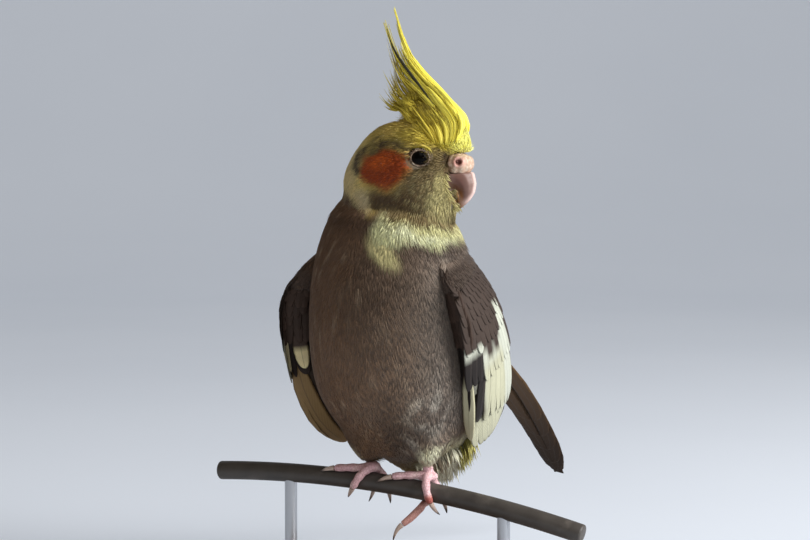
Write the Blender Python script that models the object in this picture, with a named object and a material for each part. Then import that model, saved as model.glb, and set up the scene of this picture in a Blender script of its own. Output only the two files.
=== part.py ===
"""A cockatiel perched on a short cut length of arched bar, on a plain display stand.

The bird is a still, life-size model. Lengths are in millimetres and are scaled to
metres as each mesh is made. The bird's own places are measured from the grip point,
just over the bar and midway between the feet: x to the bird's left, y to its back, z up.
"""

import math
import random

import bmesh
import bpy
import numpy as np
from mathutils import Vector

MM = 0.001
GAP = 0.3
BODY_SIDES = 28
TUBE_SIDES_RESOLUTION = 2

# The stand and the bar
GRIP_HEIGHT = 50.0
BASE_RADIUS = 58.0
BASE_THICKNESS = 8.0
BASE_EDGE = 1.2
BASE_SIDES = 56
ROD_RADIUS = 2.4
ROD_X = 44.0
BAR_RADIUS = 3.6
BAR_DROP = 2.2
BAR_ARCH_RADIUS = 480.0
BAR_APEX_X = -46.0
BAR_HALF_LENGTH = 75.0
BAR_STEPS = 22

# The torso and neck: height, front y, back y, half width
TORSO_ROWS = (
    (-6.0, 24.0, 48.0, 5.5),
    (-1.0, 14.0, 52.0, 11.5),
    (6.0, -4.0, 54.0, 17.0),
    (16.0, -20.0, 56.0, 25.0),
    (30.0, -32.0, 58.0, 30.5),
    (45.0, -37.0, 59.0, 32.0),
    (60.0, -37.5, 53.0, 31.5),
    (74.0, -34.0, 38.0, 30.0),
    (86.0, -28.0, 25.0, 27.5),
    (97.0, -22.0, 16.0, 23.0),
    (107.0, -15.0, 8.0, 15.0),
)
TORSO_WIDEST = 0.42
TORSO_RINGS = 16
NECK_BOTTOM = 82.0

# The head, turned to the bird's left: forward, centre height, half height, half width
HEAD_CENTRE = (3.3, -6.0, 112.0)
HEAD_YAW = math.radians(96.0)
HEAD_ROWS = (
    (-20.0, -4.0, 3.5, 3.5),
    (-17.5, -4.0, 9.0, 8.5),
    (-13.0, -3.0, 14.5, 13.0),
    (-7.0, -1.5, 18.5, 16.0),
    (0.0, -0.5, 20.0, 17.0),
    (7.0, -1.0, 20.3, 16.8),
    (13.0, -1.8, 19.2, 15.2),
    (18.0, -3.0, 16.2, 11.6),
    (22.0, -5.0, 11.8, 7.2),
    (24.4, -6.5, 6.5, 4.0),
)
HEAD_RINGS = 13
BILL_SEAT = (27.0, -2.0)
BILL_SEAT_RADII = (8.2, 8.4, 8.6)
JAW_CUT = (0.0, -15.5)
JAW_SLOPE = -0.33

# Eyes and lids
EYE_PLACE = (13.4, 5.6)
EYE_RADIUS = 4.4
EYE_PROUD = 0.7
EYE_SET_BACK = 1.2
EYE_FACES_FORWARD = 0.37
EYE_SEGMENTS = 14
EYE_RINGS = 9
LID_RADIUS = 3.6
LID_THICKNESS = 0.75
LID_SEGMENTS = 16
LID_SIDES = 6

# The bill: forward, height, half depth, half width along each mandible
UPPER_BILL_ROWS = (
    (17.0, -1.0, 6.6, 6.0),
    (22.0, -0.2, 6.4, 5.9),
    (25.6, -2.4, 5.2, 4.9),
    (27.2, -5.8, 3.6, 3.5),
    (26.4, -9.2, 2.1, 2.1),
    (24.6, -12.0, 1.0, 1.0),
    (23.4, -13.6, 0.3, 0.4),
)
LOWER_BILL_ROWS = (
    (14.0, -9.0, 3.4, 4.2),
    (19.0, -9.8, 3.2, 4.0),
    (22.4, -10.4, 2.2, 2.8),
    (23.8, -9.6, 0.8, 1.5),
)
UPPER_BILL_MESH = (12, 12)
LOWER_BILL_MESH = (7, 10)
CERE_BULB = (24.6, 3.3)
CERE_RADII = (4.6, 4.0, 3.7)
CERE_MESH = (12, 8)
CERE_SPREAD = 2.3
CERE_CUT = -0.1
CERE_SLOPE = 0.10
NOSTRIL_PLACE = (24.8, 4.3)
NOSTRIL_RADIUS = 0.75
NOSTRIL_DEPTH = 1.1

# The crest's fleshy pad: height above the head's centre, rear and front reach, half width
PAD_ROWS = (
    (8.0, 15.0, 28.0, 4.2),
    (11.5, 13.0, 30.6, 6.4),
    (17.0, 9.0, 29.4, 7.2),
    (22.0, 5.0, 26.4, 6.4),
    (27.0, 6.0, 21.0, 3.6),
    (29.0, 9.0, 17.0, 1.6),
)
PAD_RINGS = 8
PAD_SIDES = 12
# The crest's feathers: the stems of the front and the rear one, as forward and height on the
# head, then each tip with how far rearward its stem is and how far to the side it stands
CREST_STEMS = (
    ((24.5, 10.0), (29.0, 19.0), (21.5, 28.6)),
    ((11.0, 15.0), (10.0, 21.0), (4.5, 24.5)),
)
CREST_TIPS = (
    (-1.0, 61.4, 0.00, 0.0),
    (1.2, 54.5, 0.10, 1.5),
    (-4.9, 55.8, 0.30, -1.3),
    (2.6, 49.0, 0.22, -2.7),
    (-1.8, 46.7, 0.45, 0.6),
    (-1.4, 41.5, 0.58, 2.2),
    (-0.6, 37.7, 0.70, -2.2),
    (-3.8, 29.8, 0.86, 0.8),
    (-5.4, 20.5, 1.00, -0.6),
    (7.0, 40.5, 0.15, 4.2),
    (6.6, 38.0, 0.15, -4.4),
    (4.4, 33.5, 0.45, 4.8),
    (3.8, 31.5, 0.45, -5.0),
    (1.0, 26.0, 0.75, 4.4),
    (0.4, 24.6, 0.75, -4.4),
)
CREST_SAG = 0.07
CREST_CLOSING = 0.72
CREST_TILT = 0.25
CREST_HALF_WIDTH = 1.9
CREST_STATIONS = ((0.0, 0.5), (0.18, 0.8), (0.38, 1.0), (0.58, 1.0), (0.78, 0.8), (0.93, 0.5), (1.0, 0.12))

# A vane: share of its length and of its half width at each station, and its thickness
VANE_STATIONS = ((0.0, 0.45), (0.3, 0.86), (0.66, 1.0), (0.9, 0.66), (1.0, 0.14))
VANE_THICKNESS = 0.6
VANE_TIP_THICKNESS = 0.3
TIP_VARIATION = 0.008
SEED = 7

# The step, as a share, between the two places that give a path's direction
STEP = 0.01

# The folded wing, as three rails from the shoulder to the tip: lower edge, middle, upper edge
WING_LOWER = (
    (24, -13, 80), (33, -18, 67), (36, -13, 50), (33, -3, 30), (27, 13, 14), (19, 42, 7), (8, 97, 15),
)
WING_MIDDLE = (
    (24, -4, 84), (31.5, 2, 75), (37.5, 10, 61), (37.5, 22, 46), (32.5, 38, 32), (21, 61, 21), (7.6, 98, 16),
)
WING_UPPER = (
    (19, 4, 87), (22, 17, 80), (23, 30, 70), (22, 43, 58), (18, 57, 46), (12, 76, 32), (7, 98.5, 17),
)
HELD_OFF = {"left": (0, 0, 0, 0, 0, 0, 0), "right": (2, 3.5, 4.5, 7, 9, 9, 3)}
DROOP = {"left": (0, 0, 0, 1.5, 4.5, 4.5, 1), "right": (0, 0, 0, 2, 5, 7, 2)}
UPPER_DROOP = 0.4
WING_THICKNESS = 5.0
WING_EDGE = 1.0
WING_CORE_SHARE = 0.5
WING_CORE_SUNK = 0.9
WING_CORE_THINNING = 0.6
WING_RINGS = 8
WING_OUTER_POINTS = 7
# The wing's tiers of vanes, inner to outer: count, roots and tips as (along, across) of the
# first and last vane, half width, lift off the wing's face at root and tip
WING_TIERS = (
    ("primaries", 7, ((0.30, 0.08), (0.42, 0.44)), ((0.74, 0.04), (0.985, 0.5)), 3.4, -2.6, -1.7),
    ("secondaries", 6, ((0.34, 0.30), (0.34, 0.88)), ((0.64, 0.10), (0.80, 0.78)), 4.6, -1.9, -0.5),
    ("tertials", 2, ((0.26, 0.82), (0.22, 0.94)), ((0.80, 0.92), (0.68, 0.97)), 4.0, -1.2, 0.4),
    ("greater_coverts", 6, ((0.22, 0.10), (0.20, 0.88)), ((0.48, 0.05), (0.56, 0.86)), 5.0, -1.2, 0.7),
    ("median_coverts", 6, ((0.10, 0.12), (0.10, 0.88)), ((0.33, 0.07), (0.37, 0.88)), 5.0, -1.2, 1.2),
    ("lesser_coverts", 5, ((0.05, 0.20), (0.02, 0.84)), ((0.20, 0.14), (0.21, 0.88)), 4.8, -1.0, 1.1),
)
VANE_ROOF = 0.55

# The tail, as a path from its root in the rump to its tip
TAIL_PATH = (
    (0, 40, 55),
    (1, 60, 49.5),
    (2.5, 82, 39.5),
    (4.5, 104, 26),
    (6, 124, 11),
    (7.5, 142, -6),
    (8.5, 157, -23),
)
TAIL_CORE_SHARE = 0.42
TAIL_CORE_ROWS = ((9.0, 5.4), (9.6, 5.0), (8.0, 3.6), (5.0, 2.0))
TAIL_RINGS = 7
TAIL_SIDES = 12
# The tail's feathers in pairs, from the long middle pair outwards: where each ends
TAIL_TIPS = (1.0, 0.965, 0.90, 0.81, 0.71)
TAIL_ROOT = 0.16
TAIL_VANE_HALF_WIDTH = 3.8
TAIL_MIDDLE_OVERLAP = 1.8
TAIL_VANE_STEP = 0.8
TAIL_VANE_DROP = 1.0
TAIL_TOP = 1.5

# Legs and feet: x of each foot on the bar, how far behind the bar's top it sits in degrees,
# and the thigh as height, y and radius
FOOT_X = {"left": 13.0, "right": -9.5}
FOOT_LEAN = {"left": 24.0, "right": 0.0}
THIGH_ROWS = (
    (26.0, 4.0, 8.0),
    (16.0, -1.0, 9.0),
    (9.0, -3.0, 7.4),
    (5.0, -2.5, 5.0),
    (3.0, -2.0, 2.8),
)
THIGH_OUTWARD = 0.15
THIGH_RINGS = 8
THIGH_SIDES = 16
SHANK_TOP = (-1.6, 9.0)
SHANK_RADII = (2.1, 1.9, 1.9)
ANKLE_OFFSET = (0.0, -0.6, 2.5)
TOE_RADIUS = 1.55
PALM_RADII = (3.4, 3.2, 2.1)
PALM_LIFT = 2.24
TOE_CLEARANCE = 0.35
CLAW_LENGTH = 6.5
CLAW_RADIUS = 0.95
CLAW_TIP_RADIUS = 0.12
CLAW_STEPS = 6
CLAW_BEND = 0.32
HANGING_CLAW_BEND = 0.5
HANGING_CLAW_TURN = (-0.35, 0.15, -1.0)

# Each toe wraps the bar from the palm: sideways drift and last angle; one of them lets go
TOES = {
    "left": ((-12.5, -42.0), (3.5, -124.0), (4.8, 122.0), (-1.5, 176.0)),
    "right": ((-14.0, -40.0), (-6.0, -118.0), (4.5, 118.0), (-1.0, 114.0)),
}
HANGING_TOE = ("left", 3)
HANGING_END = ((11.0, -1.0, -13.6), (7.6, -3.0, -17.4), (5.0, -4.2, -19.6))
TOE_START = 14.0
TOE_STEPS = 7
TOE_TAPER = 0.22
KNUCKLE_SWELL = 0.22
KNUCKLES = 3

COLOURS = {
    "grey_plumage": ((0.17, 0.135, 0.11), 0.85, 0.0),
    "yellow_plumage": ((0.72, 0.62, 0.10), 0.85, 0.0),
    "wing_plumage": ((0.14, 0.105, 0.085), 0.8, 0.0),
    "tail_plumage": ((0.20, 0.155, 0.125), 0.8, 0.0),
    "thigh_plumage": ((0.50, 0.46, 0.30), 0.85, 0.0),
    "bill_horn": ((0.42, 0.27, 0.22), 0.45, 0.0),
    "cere_skin": ((0.60, 0.34, 0.30), 0.6, 0.0),
    "foot_skin": ((0.62, 0.30, 0.27), 0.6, 0.0),
    "claw_horn": ((0.36, 0.27, 0.22), 0.4, 0.0),
    "eye_gloss": ((0.008, 0.006, 0.006), 0.08, 0.0),
    "bar_paint": ((0.055, 0.047, 0.040), 0.5, 0.0),
    "stand_wood": ((0.20, 0.10, 0.045), 0.5, 0.0),
    "stand_steel": ((0.55, 0.55, 0.56), 0.3, 1.0),
}


def spline(rows, t):
    """The Catmull-Rom value at t, from 0 to 1, through equally spaced rows of numbers."""
    rows = np.asarray(rows, float)
    place = t * (len(rows) - 1)
    index = min(int(place), len(rows) - 2)
    f = place - index
    last = len(rows) - 1
    before, start, end, after = (rows[min(max(index + k, 0), last)] for k in (-1, 0, 1, 2))
    rise = (end - before) * f
    bend = (2 * before - 5 * start + 4 * end - after) * f * f
    twist = (3 * start - before - 3 * end + after) * f**3
    return start + 0.5 * (rise + bend + twist)


def fractions(count):
    return [k / (count - 1) for k in range(count)]


def world(point):
    """A place of the bird's, in metres above the stand's underside."""
    x, y, z = point
    return Vector((x, y, z + GRIP_HEIGHT)) * MM


def head_point(forward, side, up):
    """A place on the turned head: side is towards the head's right."""
    ahead = np.array((math.sin(HEAD_YAW), -math.cos(HEAD_YAW), 0.0))
    right = np.array((ahead[1], -ahead[0], 0.0))
    return np.array(HEAD_CENTRE) + forward * ahead + side * right + up * np.array((0.0, 0.0, 1.0))


def head_axes():
    """The head's forward, right and up directions."""
    middle = head_point(0, 0, 0)
    return [head_point(*row) - middle for row in np.eye(3)]


def collection_named(name, hidden=False):
    made = bpy.data.collections.new(name)
    bpy.context.scene.collection.children.link(made)
    made.hide_render = hidden
    return made


def material_named(name):
    known = bpy.data.materials.get(name)
    if known:
        return known
    colour, roughness, metallic = COLOURS[name]
    made = bpy.data.materials.new(name)
    made.use_nodes = True
    shader = made.node_tree.nodes["Principled BSDF"]
    shader.inputs["Base Color"].default_value = (*colour, 1.0)
    shader.inputs["Roughness"].default_value = roughness
    shader.inputs["Metallic"].default_value = metallic
    made.diffuse_color = (*colour, 1.0)
    return made


def object_from(bm, name):
    bm.normal_update()
    bmesh.ops.recalc_face_normals(bm, faces=bm.faces)
    mesh = bpy.data.meshes.new(name)
    bm.to_mesh(mesh)
    bm.free()
    made = bpy.data.objects.new(name, mesh)
    made.display_type = "WIRE"
    scratch.objects.link(made)
    return made


def finish(made, name, slot):
    """Names a piece, gives it its material and moves it among the object's nodes."""
    made.name = made.data.name = name
    made.display_type = "TEXTURED"
    made.data.materials.clear()
    made.data.materials.append(material_named(slot))
    made.data.shade_smooth()
    made.data.set_sharp_from_angle(angle=math.radians(50))
    scratch.objects.unlink(made)
    parts.objects.link(made)
    return made


def loft(name, rings, flat_ends=False):
    """A closed mesh through rings of equally many points, each end closed by a fan or a strip."""
    bm = bmesh.new()
    loops = [[bm.verts.new(world(point)) for point in ring] for ring in rings]
    for near, far in zip(loops, loops[1:]):
        for k in range(len(near)):
            bm.faces.new((near[k - 1], near[k], far[k], far[k - 1]))
    for loop in (loops[0], loops[-1]):
        if flat_ends:
            for k in range(len(loop) // 2 - 1):
                bm.faces.new((loop[k], loop[k + 1], loop[-2 - k], loop[-1 - k]))
            continue
        middle = bm.verts.new(sum((v.co for v in loop), Vector()) / len(loop))
        for k in range(len(loop)):
            bm.faces.new((loop[k - 1], loop[k], middle))
    return object_from(bm, name)


def tube(name, path, radii):
    """A round piece along a path of places, made from a curve with filled caps."""
    curve = bpy.data.curves.new(name, "CURVE")
    curve.dimensions = "3D"
    curve.bevel_depth = MM
    curve.bevel_resolution = TUBE_SIDES_RESOLUTION
    curve.use_fill_caps = True
    line = curve.splines.new("POLY")
    line.points.add(len(path) - 1)
    for point, place, radius in zip(line.points, path, radii):
        point.co = (*world(place), 1.0)
        point.radius = radius
    guide = bpy.data.objects.new(name, curve)
    scratch.objects.link(guide)
    bpy.context.view_layer.update()
    evaluated = guide.evaluated_get(bpy.context.evaluated_depsgraph_get())
    bm = bmesh.new()
    bm.from_mesh(bpy.data.meshes.new_from_object(evaluated))
    bmesh.ops.remove_doubles(bm, verts=bm.verts, dist=1e-6)
    bpy.data.objects.remove(guide)
    return object_from(bm, name)


def ellipsoid(name, centre, axes, segments=16, rings=10):
    """A sphere stretched along three axis vectors, each as long as its radius."""
    bm = bmesh.new()
    bmesh.ops.create_uvsphere(bm, u_segments=segments, v_segments=rings, radius=1.0)
    for vertex in bm.verts:
        vertex.co = world(np.array(centre) + np.array(vertex.co) @ np.array(axes))
    return object_from(bm, name)


def vane(name, places, sideways, outward, half_widths):
    """A thin tapering blade along places, its two faces split into triangles alike."""
    bm = bmesh.new()
    stations = []
    for k, half_width in enumerate(half_widths):
        last = k == len(half_widths) - 1
        rise = outward[k] * ((VANE_TIP_THICKNESS if last else VANE_THICKNESS) / 2)
        reach = sideways[k] * half_width
        corners = (places[k] - reach + rise, places[k] + reach + rise)
        corners += (places[k] + reach - rise, places[k] - reach - rise)
        stations.append([bm.verts.new(world(corner)) for corner in corners])
    for near, far in zip(stations, stations[1:]):
        bm.faces.new((near[0], near[1], far[1]))
        bm.faces.new((near[0], far[1], far[0]))
        bm.faces.new((near[3], far[2], near[2]))
        bm.faces.new((near[3], far[3], far[2]))
        bm.faces.new((near[1], near[2], far[2], far[1]))
        bm.faces.new((near[3], near[0], far[0], far[3]))
    bm.faces.new(stations[0])
    bm.faces.new(stations[-1])
    return object_from(bm, name)


def unit(vector):
    return vector / np.linalg.norm(vector)


def half_space(name, point, normal, size=400.0):
    """A large block whose one face passes through a point, on the side the normal points to."""
    bm = bmesh.new()
    bmesh.ops.create_cube(bm, size=size * MM)
    turn = Vector(normal).normalized().to_track_quat("Z", "Y").to_matrix()
    middle = world(point) + Vector(normal).normalized() * (size / 2 * MM)
    for vertex in bm.verts:
        vertex.co = turn @ vertex.co + middle
    return object_from(bm, name)


def largest_shell(made):
    """Drops all but the largest closed surface of a mesh."""
    bm = bmesh.new()
    bm.from_mesh(made.data)
    seen = set()
    shells = []
    for first in bm.faces:
        if first in seen:
            continue
        shell, waiting = [], [first]
        seen.add(first)
        while waiting:
            face = waiting.pop()
            shell.append(face)
            for edge in face.edges:
                if len(edge.link_faces) != 2:
                    continue
                for other in edge.link_faces:
                    if other not in seen:
                        seen.add(other)
                        waiting.append(other)
        shells.append(shell)
    shells.sort(key=lambda shell: sum(face.calc_area() for face in shell))
    for shell in shells[:-1]:
        bmesh.ops.delete(bm, geom=shell, context="FACES")
    bmesh.ops.delete(bm, geom=[v for v in bm.verts if not v.link_faces], context="VERTS")
    bm.to_mesh(made.data)
    bm.free()
    return made


def applied(made, modifier_name):
    """Replaces a mesh by its evaluated one and removes the modifier."""
    bpy.context.view_layer.update()
    evaluated = made.evaluated_get(bpy.context.evaluated_depsgraph_get())
    mesh = bpy.data.meshes.new_from_object(evaluated)
    made.modifiers.remove(made.modifiers[modifier_name])
    made.data = mesh
    return made


def boolean(made, others, operation, solver="EXACT"):
    """Joins or cuts a mesh by a collection of closed meshes, applies it and removes them."""
    group = bpy.data.collections.new("group")
    bpy.context.scene.collection.children.link(group)
    for other in others:
        scratch.objects.unlink(other)
        group.objects.link(other)
    change = made.modifiers.new(operation, "BOOLEAN")
    change.operation = operation
    change.operand_type = "COLLECTION"
    change.collection = group
    change.solver = solver
    applied(made, operation)
    for other in list(group.objects):
        bpy.data.objects.remove(other)
    bpy.data.collections.remove(group)
    return largest_shell(made)


def copy_of(made, swell=0.0):
    """A copy whose surface stands a little outside the original's, as a cutter."""
    bm = bmesh.new()
    bm.from_mesh(made.data)
    bm.normal_update()
    moved = [(vertex, vertex.co + vertex.normal * (swell * MM)) for vertex in bm.verts]
    for vertex, place in moved:
        vertex.co = place
    return object_from(bm, made.name + "_copy")


def bar_axis_height(x):
    """The height of the bar's axis at x, on an arch whose top is at the apex."""
    fall = BAR_ARCH_RADIUS - math.sqrt(BAR_ARCH_RADIUS**2 - (x - BAR_APEX_X) ** 2)
    fall_at_grip = BAR_ARCH_RADIUS - math.sqrt(BAR_ARCH_RADIUS**2 - BAR_APEX_X**2)
    return fall_at_grip - fall - BAR_RADIUS - BAR_DROP


def egg_ring(height, front, back, half_width, sides=BODY_SIDES):
    """A level ring, widest at a set share of its length and rounder in front."""
    widest = front + (back - front) * TORSO_WIDEST
    ring = []
    for k in range(sides):
        turn = 2 * math.pi * k / sides
        reach = (back - widest) if math.cos(turn) > 0 else (widest - front)
        ring.append((half_width * math.sin(turn), widest + reach * math.cos(turn), height))
    return ring


def make_torso_form():
    return loft("torso_form", [egg_ring(*spline(TORSO_ROWS, t)) for t in fractions(TORSO_RINGS)])


def make_head_form():
    rings = []
    for t in fractions(HEAD_RINGS):
        forward, middle, half_height, half_width = spline(HEAD_ROWS, t)
        turns = [2 * math.pi * k / BODY_SIDES for k in range(BODY_SIDES)]
        ring = [
            head_point(forward, half_width * math.sin(turn), middle + half_height * math.cos(turn))
            for turn in turns
        ]
        rings.append(ring)
    return loft("head_form", rings)


def head_half_width(forward, up):
    """How far the head's side stands from its middle at a forward and up place."""
    shares = [k / 200 for k in range(201)]
    share = min(shares, key=lambda t: abs(spline(HEAD_ROWS, t)[0] - forward))
    _, middle, half_height, half_width = spline(HEAD_ROWS, share)
    return half_width * math.sqrt(max(0.0, 1 - ((up - middle) / half_height) ** 2))


def eye_centre(side):
    forward, up = EYE_PLACE
    surface = head_half_width(forward, up)
    return head_point(forward - EYE_SET_BACK, side * (surface + EYE_PROUD - EYE_RADIUS), up)


def make_eye(side, name):
    eye = ellipsoid(name, eye_centre(side), np.eye(3) * EYE_RADIUS, EYE_SEGMENTS, EYE_RINGS)
    return finish(eye, name, "eye_gloss")


def make_lid(side):
    """The ring of bare skin and lid edge round one eye."""
    forward_vector, side_vector, _ = head_axes()
    outward = Vector(side * side_vector + EYE_FACES_FORWARD * forward_vector).normalized()
    bpy.ops.mesh.primitive_torus_add(
        major_radius=LID_RADIUS * MM,
        minor_radius=LID_THICKNESS * MM,
        major_segments=LID_SEGMENTS,
        minor_segments=LID_SIDES,
    )
    ring = bpy.context.object
    turn = outward.to_track_quat("Z", "Y").to_matrix()
    rise = math.sqrt(EYE_RADIUS**2 - LID_RADIUS**2)
    middle = world(eye_centre(side)) + outward * (rise * MM)
    for vertex in ring.data.vertices:
        vertex.co = turn @ vertex.co + middle
    for holder in list(ring.users_collection):
        holder.objects.unlink(ring)
    scratch.objects.link(ring)
    return ring


def make_body():
    """Torso, neck and head from one joined form, parted by two thin cuts."""
    seat_axes = [axis * radius for axis, radius in zip(head_axes(), BILL_SEAT_RADII)]
    seat = ellipsoid("seat", head_point(BILL_SEAT[0], 0.0, BILL_SEAT[1]), seat_axes)
    head_form = boolean(make_head_form(), [seat], "DIFFERENCE")
    whole = boolean(make_torso_form(), [head_form], "UNION")
    envelope = copy_of(whole, 0.0)
    envelope.name = "envelope"

    jaw_normal = unit(head_axes()[2] - JAW_SLOPE * head_axes()[0])
    jaw = head_point(JAW_CUT[0], 0.0, JAW_CUT[1])
    neck_low = np.array((0.0, 0.0, NECK_BOTTOM))
    level = np.array((0.0, 0.0, 1.0))

    torso = boolean(copy_of(whole), [half_space("above", neck_low, level)], "DIFFERENCE")
    finish(torso, "torso", "grey_plumage")
    below_head = half_space("below_head", jaw + GAP * jaw_normal, -jaw_normal)
    head = boolean(copy_of(whole), [below_head], "DIFFERENCE")
    head_side = half_space("head_side", jaw, jaw_normal)
    torso_side = half_space("torso_side", neck_low + GAP * level, -level)
    neck = boolean(whole, [head_side, torso_side], "DIFFERENCE")
    finish(neck, "neck", "yellow_plumage")

    lids = [make_lid(side) for side in (1, -1)]
    head = boolean(head, lids, "UNION")
    socket_axes = np.eye(3) * (EYE_RADIUS + GAP)
    sockets = [
        ellipsoid("socket", eye_centre(side), socket_axes, EYE_SEGMENTS, EYE_RINGS)
        for side in (1, -1)
    ]
    head = boolean(head, sockets, "DIFFERENCE")
    finish(head, "head", "yellow_plumage")
    return envelope


def clear_of(made, envelope):
    """Cuts a piece clear of the body by the usual gap."""
    return boolean(made, [copy_of(envelope, GAP)], "DIFFERENCE")


def mandible(name, rows, rings, sides):
    """A horn sheath along rows of forward, height, half depth and half width."""
    places = [spline(rows, t) for t in fractions(rings)]
    made = []
    for k, (forward, up, half_depth, half_width) in enumerate(places):
        ahead = unit(places[min(k + 1, rings - 1)][:2] - places[max(k - 1, 0)][:2])
        across = np.array((-ahead[1], ahead[0]))
        ring = []
        for corner in range(sides):
            turn = 2 * math.pi * corner / sides
            place = np.array((forward, up)) + across * half_depth * math.cos(turn)
            ring.append(head_point(place[0], half_width * math.sin(turn), place[1]))
        made.append(ring)
    return loft(name, made)


def make_bill(envelope):
    """Both mandibles and the cere, each cut clear of the head and of one another."""
    forward_vector, side_vector, up_vector = head_axes()

    upper = mandible("bill_upper", UPPER_BILL_ROWS, *UPPER_BILL_MESH)
    lower = mandible("bill_lower", LOWER_BILL_ROWS, *LOWER_BILL_MESH)
    lower = boolean(lower, [copy_of(upper, GAP)], "DIFFERENCE")

    axes = [axis * radius for axis, radius in zip(head_axes(), CERE_RADII)]
    bulb_forward, bulb_up = CERE_BULB
    bulbs = [
        ellipsoid("bulb", head_point(bulb_forward, side * CERE_SPREAD, bulb_up), axes, *CERE_MESH)
        for side in (1, -1)
    ]
    cere = boolean(bulbs[0], bulbs[1:], "UNION")
    cut_normal = unit(up_vector - CERE_SLOPE * forward_vector)
    cut_place = head_point(bulb_forward, 0.0, CERE_CUT)
    under = half_space("under", cut_place + GAP * cut_normal, -cut_normal)
    cere = boolean(cere, [under], "DIFFERENCE")
    upper = boolean(upper, [half_space("over", cut_place, cut_normal)], "DIFFERENCE")

    holes = []
    inner_end = CERE_SPREAD + CERE_RADII[1] - NOSTRIL_DEPTH
    nostril_forward, nostril_up = NOSTRIL_PLACE
    for side in (1, -1):
        place = head_point(nostril_forward, side * inner_end, nostril_up)
        outside = place + side * side_vector * CERE_RADII[1]
        holes.append(tube("nostril", [place, outside], [NOSTRIL_RADIUS, NOSTRIL_RADIUS]))
    cere = boolean(cere, holes, "DIFFERENCE")

    finish(clear_of(cere, envelope), "cere", "cere_skin")
    finish(clear_of(upper, envelope), "bill_upper", "bill_horn")
    finish(clear_of(lower, envelope), "bill_lower", "bill_horn")


def make_crest(envelope):
    """The crest: a low pad on the forehead and its upswept feathers, one by one."""
    forward_vector, side_vector, up_vector = head_axes()
    rings = []
    for t in fractions(PAD_RINGS):
        up, rear, front, half_width = spline(PAD_ROWS, t)
        middle, reach = (rear + front) / 2, (front - rear) / 2
        turns = [2 * math.pi * k / PAD_SIDES for k in range(PAD_SIDES)]
        ring = [
            head_point(middle + reach * math.cos(turn), half_width * math.sin(turn), up)
            for turn in turns
        ]
        rings.append(ring)
    pad = loft("crest", rings)

    vanes = []
    for tip_forward, tip_up, share, spread in CREST_TIPS:
        stem = np.array(CREST_STEMS[0]) * (1 - share) + np.array(CREST_STEMS[1]) * share
        tip = np.array((tip_forward, tip_up))
        reach = tip - stem[2]
        sag = np.array((-reach[1], reach[0])) * CREST_SAG
        line = np.vstack([stem, stem[2] + reach / 2 + sag, tip])
        places, sideways, outward = [], [], []
        for t, _ in CREST_STATIONS:
            place = spline(line, t)
            ahead = unit(spline(line, min(t + STEP, 1)) - spline(line, max(t - STEP, 0)))
            places.append(head_point(place[0], spread * (1 - CREST_CLOSING * t), place[1]))
            along = forward_vector * ahead[0] + up_vector * ahead[1]
            tilt = CREST_TILT if spread >= 0 else -CREST_TILT
            flat = side_vector + tilt * np.cross(along, side_vector)
            sideways.append(unit(np.cross(along, unit(flat))))
            outward.append(unit(np.cross(sideways[-1], along)))
        half_widths = [CREST_HALF_WIDTH * width for _, width in CREST_STATIONS]
        vanes.append(vane("crest_vane", places, sideways, outward, half_widths))
    crest = clear_of(boolean(pad, vanes, "UNION"), envelope)
    beak = [copy_of(parts.objects[name], GAP) for name in ("cere", "bill_upper")]
    finish(boolean(crest, beak, "DIFFERENCE"), "crest", "yellow_plumage")


def wing_place(side, along, across):
    """A place on the folded wing's outer face: along to the tip, across to the upper edge."""
    mirror = 1 if side == "left" else -1
    low, middle, high = (spline(rail, along) for rail in (WING_LOWER, WING_MIDDLE, WING_UPPER))
    bulge = 2 * middle - (low + high) / 2
    place = low * (1 - across) ** 2 + 2 * bulge * across * (1 - across) + high * across**2
    off, drop = spline(list(zip(HELD_OFF[side], DROOP[side])), along)
    drop *= 1 - (1 - UPPER_DROOP) * across
    return np.array((mirror * (place[0] + off), place[1], place[2] - drop))


def wing_outward(side, along, across):
    """The wing's outward normal there."""
    nearer, farther = max(along - STEP, 0), min(along + STEP, 1)
    lower, higher = max(across - STEP, 0), min(across + STEP, 1)
    forward = wing_place(side, farther, across) - wing_place(side, nearer, across)
    over = wing_place(side, along, higher) - wing_place(side, along, lower)
    normal = unit(np.cross(forward, over))
    outside = 1 if side == "left" else -1
    return normal if normal[0] * outside > 0 else -normal


def wing_ring(side, along, thinning):
    """A closed section of the wing's core: its outer face, then its inner face back again."""
    outer, inner = [], []
    for across in fractions(WING_OUTER_POINTS):
        inward = -wing_outward(side, along, across)
        place = wing_place(side, along, across) + inward * WING_CORE_SUNK
        depth = WING_EDGE + (WING_THICKNESS - WING_EDGE) * math.sin(math.pi * across)
        outer.append(place)
        inner.append(place + inward * depth * thinning)
    return outer + inner[::-1]


def wing_vane(side, root, tip, half_width, root_lift, tip_lift):
    """One feather laid along the wing's face, with its upper edge raised like a roof tile's."""
    places, sideways, outward = [], [], []
    for t, _ in VANE_STATIONS:
        along, across = root + (tip - root) * t
        out = wing_outward(side, along, across)
        lift = root_lift + (tip_lift - root_lift) * t
        places.append(wing_place(side, along, across) + out * lift)
        outward.append(out)
    for k, place in enumerate(places):
        ahead = unit(places[min(k + 1, len(places) - 1)] - places[max(k - 1, 0)])
        over = unit(np.cross(outward[k], ahead))
        raised = over if over[2] > 0 else -over
        over = unit(raised + outward[k] * (-VANE_ROOF / half_width))
        sideways.append(over)
        outward[k] = unit(outward[k] - over * np.dot(over, outward[k]))
    half_widths = [half_width * share for _, share in VANE_STATIONS]
    return vane("wing_vane", places, sideways, outward, half_widths)


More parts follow.
